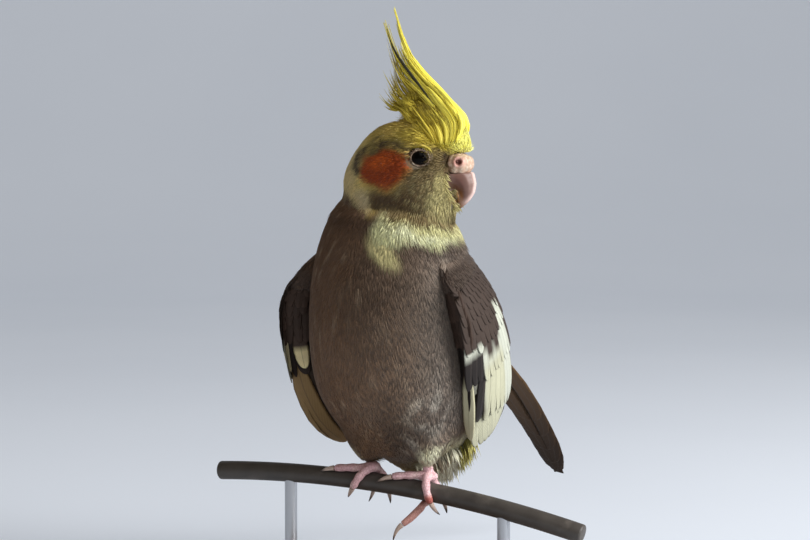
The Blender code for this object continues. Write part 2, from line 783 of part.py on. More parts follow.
def make_wing(side, envelope):
    """The wing's core, with its tiers of covert and flight feathers fused to it."""
    rings = [
        wing_ring(side, t * WING_CORE_SHARE, 1 - WING_CORE_THINNING * t)
        for t in fractions(WING_RINGS)
    ]
    core = loft("wing_" + side, rings, flat_ends=True)
    dice = random.Random(SEED)
    vanes = []
    for _, count, roots, tips, half_width, root_lift, tip_lift in WING_TIERS:
        for share in fractions(count):
            root = np.array(roots[0]) * (1 - share) + np.array(roots[1]) * share
            tip = np.array(tips[0]) * (1 - share) + np.array(tips[1]) * share
            tip = tip + np.array((dice.uniform(-TIP_VARIATION, TIP_VARIATION), 0.0))
            vanes.append(wing_vane(side, root, tip, half_width, root_lift, tip_lift))
    return clear_of(boolean(core, vanes, "UNION"), envelope)


def tail_frame(t):
    """Place, sideways and upward directions of the tail at t along it."""
    place = spline(TAIL_PATH, t)
    ahead = unit(spline(TAIL_PATH, min(t + STEP, 1)) - spline(TAIL_PATH, max(t - STEP, 0)))
    sideways = unit(np.cross((0.0, 0.0, 1.0), ahead))
    return place, sideways, np.cross(sideways, ahead)


def make_tail(envelope):
    """The tail's root and its long feathers in pairs, the outer ones shorter and lower."""
    rings = []
    for t in fractions(TAIL_RINGS):
        place, sideways, upward = tail_frame(t * TAIL_CORE_SHARE)
        half_width, half_thickness = spline(TAIL_CORE_ROWS, t)
        turns = [2 * math.pi * k / TAIL_SIDES for k in range(TAIL_SIDES)]
        ring = [
            place + sideways * half_width * math.cos(turn) + upward * half_thickness * math.sin(turn)
            for turn in turns
        ]
        rings.append(ring)
    core = loft("tail", rings)
    vanes = []
    for pair, end in enumerate(TAIL_TIPS):
        for side in (1, -1):
            inner_edge = GAP + TAIL_VANE_STEP * (pair - 1)
            height = TAIL_TOP - TAIL_VANE_DROP * pair
            if pair == 0:
                inner_edge = -TAIL_MIDDLE_OVERLAP
                height += TAIL_VANE_DROP if side > 0 else 0
            places, across, outward = [], [], []
            for t, share in VANE_STATIONS:
                place, sideways, upward = tail_frame(TAIL_ROOT + (end - TAIL_ROOT) * t)
                offset = TAIL_VANE_HALF_WIDTH * share + inner_edge
                places.append(place + sideways * side * offset + upward * height)
                across.append(sideways)
                outward.append(upward)
            half_widths = [TAIL_VANE_HALF_WIDTH * share for _, share in VANE_STATIONS]
            vanes.append(vane("tail_vane", places, across, outward, half_widths))
    return clear_of(boolean(core, vanes, "UNION"), envelope)


def part_from_wings(tail, wings):
    """Keeps the wing tips clear of the tail."""
    for wing in wings:
        boolean(wing, [copy_of(tail, GAP)], "DIFFERENCE")


def wrap_place(x, angle, stand_off):
    """A place round the bar: 0 degrees is its top, 90 its back and -90 its front."""
    turn = math.radians(angle)
    reach = BAR_RADIUS + stand_off
    return np.array((x, reach * math.sin(turn), bar_axis_height(x) + reach * math.cos(turn)))


def toe_path(side, index):
    drift, last_angle = TOES[side][index]
    start = FOOT_LEAN[side] + (TOE_START if last_angle > 0 else -TOE_START)
    path = []
    for t in fractions(TOE_STEPS):
        angle = start + (last_angle - start) * t
        stand_off = TOE_CLEARANCE + TOE_RADIUS * (1.06 - TOE_TAPER * t)
        path.append(wrap_place(FOOT_X[side] + drift * t, angle, stand_off))
    if (side, index) == HANGING_TOE:
        path += [np.array(place) for place in HANGING_END]
    return path


def toe_radii(count):
    """The toe's radius along it: a taper with a swelling at each knuckle."""
    radii = []
    for t in fractions(count):
        swell = 1 + KNUCKLE_SWELL * math.sin(math.pi * KNUCKLES * t) ** 2
        radii.append(TOE_RADIUS * (1 - TOE_TAPER * t) * swell)
    return radii


def make_leg(side, envelope):
    """A feathered thigh, and below it the foot with its toes and claws."""
    x = FOOT_X[side]
    outward = THIGH_OUTWARD if x > 0 else -THIGH_OUTWARD
    rings = []
    for t in fractions(THIGH_RINGS):
        height, y, radius = spline(THIGH_ROWS, t)
        turns = [2 * math.pi * k / THIGH_SIDES for k in range(THIGH_SIDES)]
        centre_x = x + outward * height
        rings.append([(centre_x + radius * math.sin(a), y + radius * math.cos(a), height) for a in turns])
    thigh = clear_of(loft("thigh_" + side, rings), envelope)

    palm_place = wrap_place(x, FOOT_LEAN[side], PALM_LIFT)
    palm = ellipsoid("palm", palm_place, np.diag(PALM_RADII))
    shank_path = [np.array((x, *SHANK_TOP)), palm_place + np.array(ANKLE_OFFSET), palm_place]
    pieces = [tube("shank", shank_path, SHANK_RADII)]
    bar_cutter = make_bar("bar_cutter", BAR_RADIUS + GAP)
    claws = []
    for index in range(len(TOES[side])):
        path = toe_path(side, index)
        pieces.append(tube("toe", path, toe_radii(len(path))))
        claws.append(make_claw(side, index, path))
    foot = boolean(palm, pieces, "UNION")
    foot = boolean(foot, [copy_of(thigh, GAP), copy_of(envelope, GAP), bar_cutter], "DIFFERENCE")
    finish(thigh, "thigh_" + side, "thigh_plumage")
    finish(foot, "foot_" + side, "foot_skin")
    for claw in claws:
        clear = boolean(claw, [make_bar("bar_cutter", BAR_RADIUS + GAP)], "DIFFERENCE")
        finish(clear, claw.name, "claw_horn")


def make_claw(side, index, toe):
    """A curved claw that carries on from the end of a toe."""
    end = toe[-1]
    ahead = unit(toe[-1] - toe[-2])
    if (side, index) == HANGING_TOE:
        inward, bend = np.array(HANGING_CLAW_TURN), HANGING_CLAW_BEND
    else:
        inward, bend = np.array((0.0, -end[1], bar_axis_height(end[0]) - end[2])), CLAW_BEND
    inward = unit(inward - ahead * np.dot(inward, ahead))
    path, radii = [], []
    for t in fractions(CLAW_STEPS):
        reach = GAP + CLAW_LENGTH * t
        path.append(end + ahead * reach + inward * bend * CLAW_LENGTH * t * t)
        radii.append(CLAW_RADIUS * (1 - t) ** 0.8 + CLAW_TIP_RADIUS)
    return tube(f"claw_{side}_{index + 1}", path, radii)


def make_bar(name, radius):
    xs = [BAR_HALF_LENGTH * (2 * t - 1) for t in fractions(BAR_STEPS)]
    path = [(x, 0.0, bar_axis_height(x)) for x in xs]
    return tube(name, path, [radius] * len(path))


def make_stand():
    finish(make_bar("perch", BAR_RADIUS), "perch", "bar_paint")

    bm = bmesh.new()
    bmesh.ops.create_cone(
        bm,
        cap_ends=True,
        segments=BASE_SIDES,
        radius1=BASE_RADIUS * MM,
        radius2=BASE_RADIUS * MM,
        depth=BASE_THICKNESS * MM,
    )
    rim = [edge for edge in bm.edges if all(vertex.co.z > 0 for vertex in edge.verts)]
    bmesh.ops.bevel(bm, geom=rim, offset=BASE_EDGE * MM, segments=2, profile=0.5, affect="EDGES")
    bmesh.ops.translate(bm, verts=bm.verts, vec=(0, 0, BASE_THICKNESS / 2 * MM))
    finish(object_from(bm, "stand_base"), "stand_base", "stand_wood")

    floor = BASE_THICKNESS - GRIP_HEIGHT + GAP
    for side, x in (("left", ROD_X), ("right", -ROD_X)):
        name = "stand_rod_" + side
        rod = tube(name, [(x, 0.0, floor), (x, 0.0, bar_axis_height(x))], [ROD_RADIUS] * 2)
        rod = boolean(rod, [make_bar("bar_cutter", BAR_RADIUS + GAP)], "DIFFERENCE")
        finish(rod, name, "stand_steel")


for old in list(bpy.data.objects):
    bpy.data.objects.remove(old)
parts = collection_named("cockatiel")
scratch = collection_named("cutters", hidden=True)

body = make_body()
make_bill(body)
make_crest(body)
tail_piece = make_tail(body)
wing_pieces = [make_wing(side, body) for side in ("left", "right")]
part_from_wings(tail_piece, wing_pieces)
for piece in wing_pieces:
    finish(piece, piece.name, "wing_plumage")
finish(tail_piece, "tail", "tail_plumage")
for leg_side in ("left", "right"):
    make_leg(leg_side, body)
for eye_side, eye_name in ((1, "eye_right"), (-1, "eye_left")):
    make_eye(eye_side, eye_name)
make_stand()
for left_over in list(scratch.objects):
    bpy.data.objects.remove(left_over)
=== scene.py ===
# %% [markdown]
# # A cockatiel on an arched bar
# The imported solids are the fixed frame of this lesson: they say where every part of
# the bird is. Each step below dresses one part: the skin, the small soft feathers,
# the crest, the wings, the tail, the bill and eyes, the feet, and the stand.

# %% Load the frame
import math

import bmesh
import bpy
import numpy as np
from mathutils import Matrix, Vector
from mathutils.bvhtree import BVHTree


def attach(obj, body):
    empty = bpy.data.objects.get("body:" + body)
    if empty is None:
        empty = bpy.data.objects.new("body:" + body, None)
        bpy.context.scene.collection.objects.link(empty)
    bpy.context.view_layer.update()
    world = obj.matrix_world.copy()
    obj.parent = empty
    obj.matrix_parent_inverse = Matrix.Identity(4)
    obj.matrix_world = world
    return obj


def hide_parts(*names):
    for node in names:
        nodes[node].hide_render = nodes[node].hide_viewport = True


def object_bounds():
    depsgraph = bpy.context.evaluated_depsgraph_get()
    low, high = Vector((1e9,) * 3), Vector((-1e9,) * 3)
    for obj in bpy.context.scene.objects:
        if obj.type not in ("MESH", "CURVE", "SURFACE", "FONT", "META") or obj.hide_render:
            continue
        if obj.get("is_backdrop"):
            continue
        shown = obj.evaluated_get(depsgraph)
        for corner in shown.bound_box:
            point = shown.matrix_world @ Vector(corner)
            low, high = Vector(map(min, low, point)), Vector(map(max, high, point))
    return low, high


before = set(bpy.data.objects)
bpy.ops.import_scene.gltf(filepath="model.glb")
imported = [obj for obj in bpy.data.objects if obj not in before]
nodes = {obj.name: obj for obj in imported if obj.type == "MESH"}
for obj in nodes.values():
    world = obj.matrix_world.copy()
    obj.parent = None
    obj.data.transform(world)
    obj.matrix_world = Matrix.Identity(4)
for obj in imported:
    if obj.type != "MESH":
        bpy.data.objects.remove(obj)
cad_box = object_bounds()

MM = 0.001
GRIP_HEIGHT = 50.0
print("nodes in the frame:", len(nodes))

# %% [markdown]
# ## Places on the bird
# The bird's own places are in millimetres from the point between its feet, with x to
# its left, y to its back and z up. The head is turned, so it has its own three
# directions: forward to the bill, towards its right side, and up.

# %% Places
HEAD_CENTRE = np.array((3.3, -6.0, 112.0))
HEAD_YAW = math.radians(96.0)
HEAD_FORWARD = np.array((math.sin(HEAD_YAW), -math.cos(HEAD_YAW), 0.0))
HEAD_RIGHT = np.array((HEAD_FORWARD[1], -HEAD_FORWARD[0], 0.0))
UP = np.array((0.0, 0.0, 1.0))


def to_world(places):
    return (np.asarray(places, float) + (0.0, 0.0, GRIP_HEIGHT)) * MM


def to_bird(points):
    return np.asarray(points, float) / MM - (0.0, 0.0, GRIP_HEIGHT)


def head_place(forward, side, up):
    """Places from head numbers, which may be arrays of one length."""
    columns = [np.asarray(part, float)[..., None] for part in (forward, side, up)]
    return HEAD_CENTRE + columns[0] * HEAD_FORWARD + columns[1] * HEAD_RIGHT + columns[2] * UP


def head_numbers(places):
    """Forward, side and up numbers of places."""
    away = places - HEAD_CENTRE
    return away @ HEAD_FORWARD, away @ HEAD_RIGHT, away @ UP


def unit(vectors):
    return vectors / np.maximum(np.linalg.norm(vectors, axis=-1, keepdims=True), 1e-9)


def smooth_step(low, high, value):
    t = np.clip((value - low) / (high - low), 0.0, 1.0)
    return t * t * (3 - 2 * t)


def spline(rows, t):
    """Catmull-Rom values at the places t, from 0 to 1, through equally spaced rows."""
    rows = np.asarray(rows, float)
    place = np.clip(np.atleast_1d(t), 0, 1) * (len(rows) - 1)
    index = np.minimum(place.astype(int), len(rows) - 2)
    f = (place - index)[:, None]
    last = len(rows) - 1
    before, start, end, after = (rows[np.clip(index + k, 0, last)] for k in (-1, 0, 1, 2))
    rise = (end - before) * f
    bend = (2 * before - 5 * start + 4 * end - after) * f * f
    twist = (3 * start - before - 3 * end + after) * f**3
    return start + 0.5 * (rise + bend + twist)


def ripple(places, size, seed):
    """A smooth wandering number from about -1 to 1, with bumps about as wide as size."""
    dice = np.random.default_rng(seed)
    total = np.zeros(len(places))
    for _ in range(7):
        direction = unit(dice.normal(size=3)) * dice.uniform(0.7, 1.6) * math.pi / size
        total += np.sin(places @ direction + dice.uniform(0, 2 * math.pi))
    return total / 3.2


print("head centre in metres:", [round(float(v), 4) for v in to_world(HEAD_CENTRE)])

# %% [markdown]
# ## A small language for finishes
# Every finish is a network of shader nodes. Wrapping a socket in a small class lets
# the sums be written as Python sums, which keeps each finish short and readable.


# %% Shader helpers
class Wire:
    """A socket that carries a number, with Python's operators."""

    def __init__(self, tree, socket):
        self.tree = tree
        self.socket = socket

    def maths(self, operation, first, second=None):
        node = self.tree.nodes.new("ShaderNodeMath")
        node.operation = operation
        for slot, value in zip(node.inputs, (first, second)):
            if isinstance(value, Wire):
                self.tree.links.new(value.socket, slot)
            elif value is not None:
                slot.default_value = value
        return Wire(self.tree, node.outputs[0])

    def __add__(self, other):
        return self.maths("ADD", self, other)

    def __radd__(self, other):
        return self.maths("ADD", other, self)

    def __sub__(self, other):
        return self.maths("SUBTRACT", self, other)

    def __rsub__(self, other):
        return self.maths("SUBTRACT", other, self)

    def __mul__(self, other):
        return self.maths("MULTIPLY", self, other)

    def __rmul__(self, other):
        return self.maths("MULTIPLY", other, self)

    def __truediv__(self, other):
        return self.maths("DIVIDE", self, other)

    def __pow__(self, other):
        return self.maths("POWER", self, other)

    def sine(self):
        return self.maths("SINE", self)

    def size(self):
        return self.maths("ABSOLUTE", self)

    def clipped(self):
        node = self.tree.nodes.new("ShaderNodeClamp")
        self.tree.links.new(self.socket, node.inputs["Value"])
        return Wire(self.tree, node.outputs[0])


class Finish:
    """A material with one Principled shader."""

    def __init__(self, name, **constants):
        self.material = bpy.data.materials.new(name)
        self.material.use_nodes = True
        self.tree = self.material.node_tree
        self.shader = self.tree.nodes["Principled BSDF"]
        for socket, value in constants.items():
            self.shader.inputs[socket.replace("_", " ")].default_value = value

    def node(self, kind, settings, sockets, out):
        """Any other node: its settings first, then its sockets' values or links."""
        made = self.tree.nodes.new(kind)
        for name, value in settings.items():
            setattr(made, name, value)
        for name, value in sockets.items():
            if isinstance(value, Wire):
                self.tree.links.new(value.socket, made.inputs[name])
            else:
                made.inputs[name].default_value = value
        return Wire(self.tree, made.outputs[out])

    def place(self):
        return self.node("ShaderNodeTexCoord", {}, {}, "Object")

    def noise(self, vector, scale, detail=3.0, out="Fac"):
        sockets = {"Vector": vector, "Scale": scale, "Detail": detail}
        return self.node("ShaderNodeTexNoise", {}, sockets, out)

    def parts(self, vector):
        node = self.tree.nodes.new("ShaderNodeSeparateXYZ")
        self.tree.links.new(vector.socket, node.inputs[0])
        return [Wire(self.tree, output) for output in node.outputs]

    def stretched(self, vector, factors):
        sockets = {0: vector, 1: factors}
        return self.node("ShaderNodeVectorMath", {"operation": "MULTIPLY"}, sockets, 0)

    def mix(self, mask, first, second, blend="MIX"):
        """A colour between two colours; a mask of 0 gives the first."""
        settings = {"data_type": "RGBA", "blend_type": blend}
        return self.node("ShaderNodeMix", settings, {0: mask, 6: first, 7: second}, 2)

    def paint(self):
        return self.node("ShaderNodeAttribute", {"attribute_name": "tint"}, {}, "Color")

    def layout(self, name):
        return self.node("ShaderNodeUVMap", {"uv_map": name}, {}, "UV")

    def feed(self, **wires):
        for socket, wire in wires.items():
            self.tree.links.new(wire.socket, self.shader.inputs[socket.replace("_", " ")])

    def bump(self, height, strength, distance):
        sockets = {"Height": height, "Strength": strength, "Distance": distance}
        self.feed(Normal=self.node("ShaderNodeBump", {}, sockets, "Normal"))


def srgb(red, green, blue):
    """A colour as it looks on a screen, 0 to 255, as the shader's linear numbers."""
    parts = np.array((red, green, blue), float) / 255
    return np.where(parts <= 0.04045, parts / 12.92, ((parts + 0.055) / 1.055) ** 2.4)


def rgba(red, green, blue):
    return (*(float(v) for v in srgb(red, green, blue)), 1.0)


# %% [markdown]
# ## Camera, light and floor
# A long lens from almost level keeps the bird's proportions. The light is soft, from
# a large window beside the bird's left breast. The rest of the room is dim and warm,
# so the far side of the body falls into a brown shade. The floor sweeps up behind
# into a plain pale backdrop that glows softly of itself.

# %% Camera
AZIMUTH = math.radians(24.0)
ELEVATION = math.radians(3.0)
DISTANCE = 0.80
FOCAL_PIXELS = 2120.0
FRAME_PIXELS = 810
SENSOR = 36.0

scene = bpy.context.scene
camera_right = Vector((math.cos(AZIMUTH), math.sin(AZIMUTH), 0.0))
camera_back = Vector(
    (
        math.sin(AZIMUTH) * math.cos(ELEVATION),
        -math.cos(AZIMUTH) * math.cos(ELEVATION),
        math.sin(ELEVATION),
    )
)
camera_up = camera_back.cross(camera_right)
looked_at = Vector((0, 0, GRIP_HEIGHT * MM)) + camera_right * 0.0038 + camera_up * 0.0755
camera = bpy.data.objects.new("camera", bpy.data.cameras.new("camera"))
scene.collection.objects.link(camera)
camera.location = looked_at + camera_back * DISTANCE
turn = Matrix((camera_right, camera_up, camera_back)).transposed()
camera.rotation_euler = turn.to_euler()
camera.data.sensor_width = SENSOR
camera.data.lens = SENSOR * FOCAL_PIXELS / FRAME_PIXELS
camera.data.clip_start = 0.01
scene.camera = camera
scene.view_settings.view_transform = "Standard"
print("lens in mm:", round(camera.data.lens, 1))

# %% Lights and floor
world = bpy.data.worlds.new("soft_room")
world.use_nodes = True
world.node_tree.nodes["Background"].inputs["Color"].default_value = rgba(184, 168, 150)
world.node_tree.nodes["Background"].inputs["Strength"].default_value = 0.36
scene.world = world


def lamp(name, place, size, watts, colour):
    light = bpy.data.lights.new(name, "AREA")
    light.size = size
    light.energy = watts
    light.color = colour
    made = bpy.data.objects.new(name, light)
    made.location = place
    made.rotation_euler = (looked_at - Vector(place)).to_track_quat("-Z", "Y").to_euler()
    scene.collection.objects.link(made)


lamp("window", (1.12, 0.02, 0.62), 0.8, 24.0, (0.97, 0.985, 1.0))
lamp("high_window", (0.75, -0.8, 1.0), 0.7, 3.0, (0.97, 0.985, 1.0))

BACKDROP_REACH = 3.0
BACKDROP_HEIGHT = 3.0
BACKDROP_BEND = 1.2
BACKDROP_HALF_WIDTH = 4.0
bend = np.linspace(0, math.pi / 2, 16)
profile = [(-BACKDROP_REACH, 0.0), (BACKDROP_REACH - BACKDROP_BEND, 0.0)]
profile += [
    (BACKDROP_REACH - BACKDROP_BEND * (1 - math.sin(a)), BACKDROP_BEND * (1 - math.cos(a)))
    for a in bend[1:]
]
profile += [(BACKDROP_REACH, BACKDROP_HEIGHT)]
backdrop_mesh = bpy.data.meshes.new("floor")
away = Vector((-camera_back.x, -camera_back.y, 0)).normalized()
backdrop_points = [
    away * reach + camera_right * side * BACKDROP_HALF_WIDTH + Vector((0, 0, height))
    for side in (-1, 1)
    for reach, height in profile
]
steps = len(profile)
backdrop_faces = [(k, k + 1, k + 1 + steps, k + steps) for k in range(steps - 1)]
backdrop_mesh.from_pydata(backdrop_points, [], backdrop_faces)
backdrop_mesh.shade_smooth()
floor = bpy.data.objects.new("floor", backdrop_mesh)
scene.collection.objects.link(floor)
floor_finish = Finish("pale_floor", Roughness=0.95, Specular_IOR_Level=0.1, Emission_Strength=0.42)
floor_grain = floor_finish.noise(floor_finish.place(), 2.0)
floor_finish.feed(
    Base_Color=floor_finish.mix(floor_grain, rgba(196, 200, 206), rgba(204, 208, 213)),
    Emission_Color=floor_finish.mix(floor_grain, rgba(192, 203, 218), rgba(200, 210, 224)),
)
backdrop_mesh.materials.append(floor_finish.material)
floor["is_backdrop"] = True
print("backdrop and lights are in place")

# %% [markdown]
# ## Plumage colours
# The markings are functions of place, so the skin and every feather that grows from
# it get the same colour. A hen of this wild colouring has an orange cheek dulled by
# grey, an olive face, a lemon crest, and a grey-brown body with a pale yellow bib.

# %% Colours of the head


def blended(base, colour, mask):
    """Colours moved towards another by a mask from 0 to 1."""
    return base + (np.asarray(colour) - base) * np.clip(mask, 0, 1)[:, None]


def patch(u, v, centre, radii, softness):
    """A soft oval mask, 1 inside and 0 outside."""
    reach = np.hypot((u - centre[0]) / radii[0], (v - centre[1]) / radii[1])
    return 1 - smooth_step(1 - softness, 1 + softness, reach)


def stroke(u, v, line, half_width, softness):
    """A soft brush stroke along a line of points, 1 on the line."""
    line = np.asarray(line, float)
    here = np.stack([u, v], axis=1)[:, None]
    start, leg = line[:-1], np.diff(line, axis=0)
    t = np.clip(np.sum((here - start) * leg, axis=2) / np.sum(leg * leg, axis=1), 0, 1)
    nearest = np.linalg.norm(here - start - t[..., None] * leg, axis=2).min(axis=1)
    return smooth_step(half_width + softness, half_width - 0.3 * softness, nearest)


CHEEK_BAND = ((3.8, 11.0), (-1.5, 10.2), (-6.3, 9.1), (-9.6, 6.8), (-11.0, 4.4), (-10.4, 1.6))
EYE_LINE = ((3.8, 11.0), (7.0, 9.4), (9.6, 8.2))


def head_colour(places):
    forward, side, up = head_numbers(places)
    wander = ripple(places, 5.0, 11)
    f = forward + wander
    u = up + ripple(places, 5.0, 12)
    colour = np.tile(srgb(228, 202, 110), (len(places), 1))
    colour = blended(colour, srgb(216, 194, 136), smooth_step(-5, -14, f))
    colour = blended(colour, srgb(222, 200, 86), smooth_step(-2, 10, f) * smooth_step(9, 14, u))
    colour = blended(colour, srgb(122, 104, 68), smooth_step(2, 10, f) * smooth_step(9.5, 5, u))
    colour = blended(colour, srgb(96, 74, 46), patch(f, u, (1.5, -10.5), (9.5, 6.0), 0.6))
    fleck = smooth_step(0.1, 0.9, ripple(places, 1.6, 13))
    lower = smooth_step(3, -4, u) * smooth_step(-2, 6, f)
    colour = blended(colour, srgb(182, 170, 118), 0.45 * fleck * lower)
    colour = blended(colour, srgb(188, 176, 122), patch(f, u, (19.5, -12), (5.0, 5.0), 0.5))
    under_cheek = smooth_step(-6, 1, f) * smooth_step(12, 4, f) * smooth_step(-10, -13, u)
    colour = blended(colour, srgb(122, 104, 68), under_cheek * smooth_step(3.5, 9.0, np.abs(side)))
    colour = blended(colour, srgb(222, 216, 158), smooth_step(-16.5, -19.5, u + 0.12 * f))
    colour = blended(colour, srgb(214, 196, 152), patch(f, u, (-8.5, -10.5), (3.2, 5.0), 0.6))
    cheek = np.abs(side) > 6
    colour = blended(colour, srgb(164, 108, 44), cheek * patch(f, u, (1.0, 2.0), (8.6, 7.0), 0.35))
    square = ((np.abs(f + 0.1) / 8.0) ** 2.8 + (np.abs(u - 2.0) / 6.1) ** 2.8) ** (1 / 2.8)
    colour = blended(colour, srgb(158, 64, 10), cheek * smooth_step(1.22, 0.72, square))
    colour = blended(colour, srgb(196, 90, 20), cheek * patch(f, u, (-1.8, 4.0), (4.6, 3.2), 0.6))
    broken = 0.55 + 0.4 * smooth_step(-0.5, 0.7, ripple(places, 2.6, 15))
    colour = blended(colour, srgb(70, 56, 42), cheek * broken * stroke(f, u, CHEEK_BAND, 1.5, 1.9))
    colour = blended(colour, srgb(84, 70, 54), cheek * 0.7 * stroke(f, u, EYE_LINE, 0.5, 0.9))
    colour = blended(colour, srgb(190, 176, 120), patch(f, u, (21.0, -5.0), (2.6, 6.0), 0.5))
    colour = blended(colour, srgb(164, 118, 74), patch(f, u, (24.6, -8.6), (2.2, 4.2), 0.3))
    colour = blended(colour, srgb(120, 102, 64), 0.8 * patch(f, u, (17.5, 6.4), (4.6, 3.6), 0.4))
    dark_flecks = smooth_step(0.0, 0.8, ripple(places, 1.9, 14))
    colour = blended(colour, srgb(92, 74, 50), patch(f, u, (18.0, 6.5), (4.6, 4.4), 0.4) * dark_flecks)
    bright = smooth_step(14, 20, f + 0.45 * u) * smooth_step(8.0, 11.0, u)
    colour = blended(colour, srgb(226, 206, 72), bright)
    # the forehead's own yellow, paled almost to white as a painted highlight where the front faces the window
    colour = blended(colour, srgb(255, 248, 130), smooth_step(19, 25, f) * smooth_step(6.0, 8.5, u))
    colour = blended(colour, srgb(212, 192, 70), smooth_step(17, 24, u) * smooth_step(24, 16, f))
    return colour


# %% [markdown]
# The body's colour turns with the direction one looks from and with height: browner
# and darker on the bird's right, painted shade on the side away from the window;
# greyer and paler on its left flank, partly painted light on the side that faces it;
# buff under the belly.

# %% Colours of the body


def body_colour(places):
    x, y, z = places.T
    around = np.degrees(np.arctan2(x, -y))
    wander = ripple(places, 9.0, 21)
    rightward = x * math.cos(AZIMUTH) + y * math.sin(AZIMUTH)
    colour = np.tile(srgb(107, 90, 77), (len(places), 1))
    # painted shade: the bird's right, away from the window, darker and browner
    colour = blended(colour, srgb(98, 77, 61), smooth_step(24, -25, around + 8 * wander))
    # painted light: the left flank, which faces the window, paler and greyer
    colour = blended(colour, srgb(124, 111, 99), smooth_step(18, 60, around) * smooth_step(92, 66, z))
    colour = blended(colour, srgb(104, 92, 83), smooth_step(5, 30, y))
    colour = blended(colour, srgb(114, 92, 71), smooth_step(26, 8, z + 3 * wander) * 0.7)
    colour = blended(colour, srgb(158, 148, 102), smooth_step(5, -1, z + 1.5 * wander))
    colour = blended(colour, srgb(176, 170, 150), smooth_step(24, 36, y) * smooth_step(20, 4, z) * 0.8)
    pale_side = smooth_step(13, 17, rightward + 1.5 * wander) * smooth_step(14, 7, z + 3 * wander)
    colour = blended(colour, srgb(196, 190, 156), pale_side)
    streak = smooth_step(0.2, 1.1, ripple(places * (1.0, 1.0, 0.22), 2.2, 22))
    streak = streak * smooth_step(-0.6, 0.8, ripple(places, 13.0, 24))
    colour = blended(colour, srgb(158, 144, 128), 0.42 * streak)
    # painted light and shade: wavy bands across the breast for the shading of the rows of feathers
    painted_fold_shading = np.sin((z + 3.0 * ripple(places, 7.0, 25) + 0.16 * around) * 1.25)
    colour = colour * (1 + 0.07 * painted_fold_shading * smooth_step(90, 70, z))[:, None]
    flank = patch(around, z, (52, 21), (20, 14), 0.6) * smooth_step(-0.4, 1.0, ripple(places * (1, 1, 0.2), 4.0, 23))
    colour = blended(colour, srgb(190, 182, 168), 0.62 * flank)
    colour = colour * (1 - 0.24 * patch(around, z, (50, 52), (18, 18), 0.6))[:, None]
    colour = colour * (1 - 0.40 * patch(around, z, (18, 72), (24, 26), 0.6))[:, None]
    colour = colour * (1 + 0.34 * patch(around, z, (-20, 26), (30, 26), 0.6))[:, None]
    colour = colour * (1 - 0.28 * patch(around, z, (30, 15), (18, 9), 0.6))[:, None]
    # painted shadow: the breast darker beside the left wing's front edge
    painted_wing_shadow = smooth_step(17, 24, rightward) * smooth_step(14, 26, z) * smooth_step(76, 64, z)
    colour = colour * (1 - 0.45 * painted_wing_shadow)[:, None]
    # painted shade: the front and the bird's right, which do not face the window, tinted a warmer brown like the room's
    # warm fill
    warm = smooth_step(60, 18, around)[:, None]
    colour = colour * (1 + warm * (np.array((1.03, 0.94, 0.81)) - 1))
    bib = smooth_step(3, 15, around + 6 * wander) * smooth_step(86, 74, around)
    bib = bib * smooth_step(84, 88.5, z + 2 * wander - 0.03 * (around - 45)) * smooth_step(101, 98, z)
    tongue = patch(around + 1.4 * (z - 82), z, (16, 83.5), (9, 6.0), 0.45)
    colour = blended(colour, srgb(182, 172, 122), tongue)
    colour = blended(colour, srgb(222, 220, 166), bib)
    white = patch(around, z, (54, 92.0), (34, 5.0), 0.5)
    colour = blended(colour, srgb(236, 236, 196), white)
    nape = smooth_step(96, 104, z) * smooth_step(-20, -80, around)
    return blended(colour, srgb(140, 118, 84), 0.8 * nape)


def thigh_colour(places):
    colour = np.tile(srgb(238, 236, 202), (len(places), 1))
    shade = smooth_step(0.0, 1.2, ripple(places, 4.0, 31))
    colour = blended(colour, srgb(180, 170, 124), 0.5 * shade)
    return blended(colour, srgb(134, 118, 92), 0.75 * smooth_step(4, -2, places[:, 0]))


def thigh_share(places):
    x, y, z = places.T
    near = patch(np.abs(x), y, (19.5, -3.0), (7.5, 8.0), 0.35)
    return near * smooth_step(12, 6, z)


def plumage(places):
    """The colour of skin and feather at places on the bird."""
    forward, side, up = head_numbers(places)
    low_nape = np.minimum(forward + 7.0, 0.0)
    head_share = smooth_step(-19.5, -15.5, up + 0.34 * forward + 0.40 * low_nape + ripple(places, 6.0, 41))
    colour = body_colour(places)
    colour = colour + (head_colour(places) - colour) * head_share[:, None]
    return colour + (thigh_colour(places) - colour) * thigh_share(places)[:, None]


print("plumage at the cheek:", plumage(head_place([0.0], [16.0], [1.0]))[0].round(3))

# %% [markdown]
# ## The skin
# Under the feathers lies one skin without seams. The solids of torso, neck, head and
# thighs are copied, swelled until they overlap, remeshed as one and smoothed, then
# drawn in by the depth of the feathers. The crest's fleshy root joins it.

# %% Mesh helpers


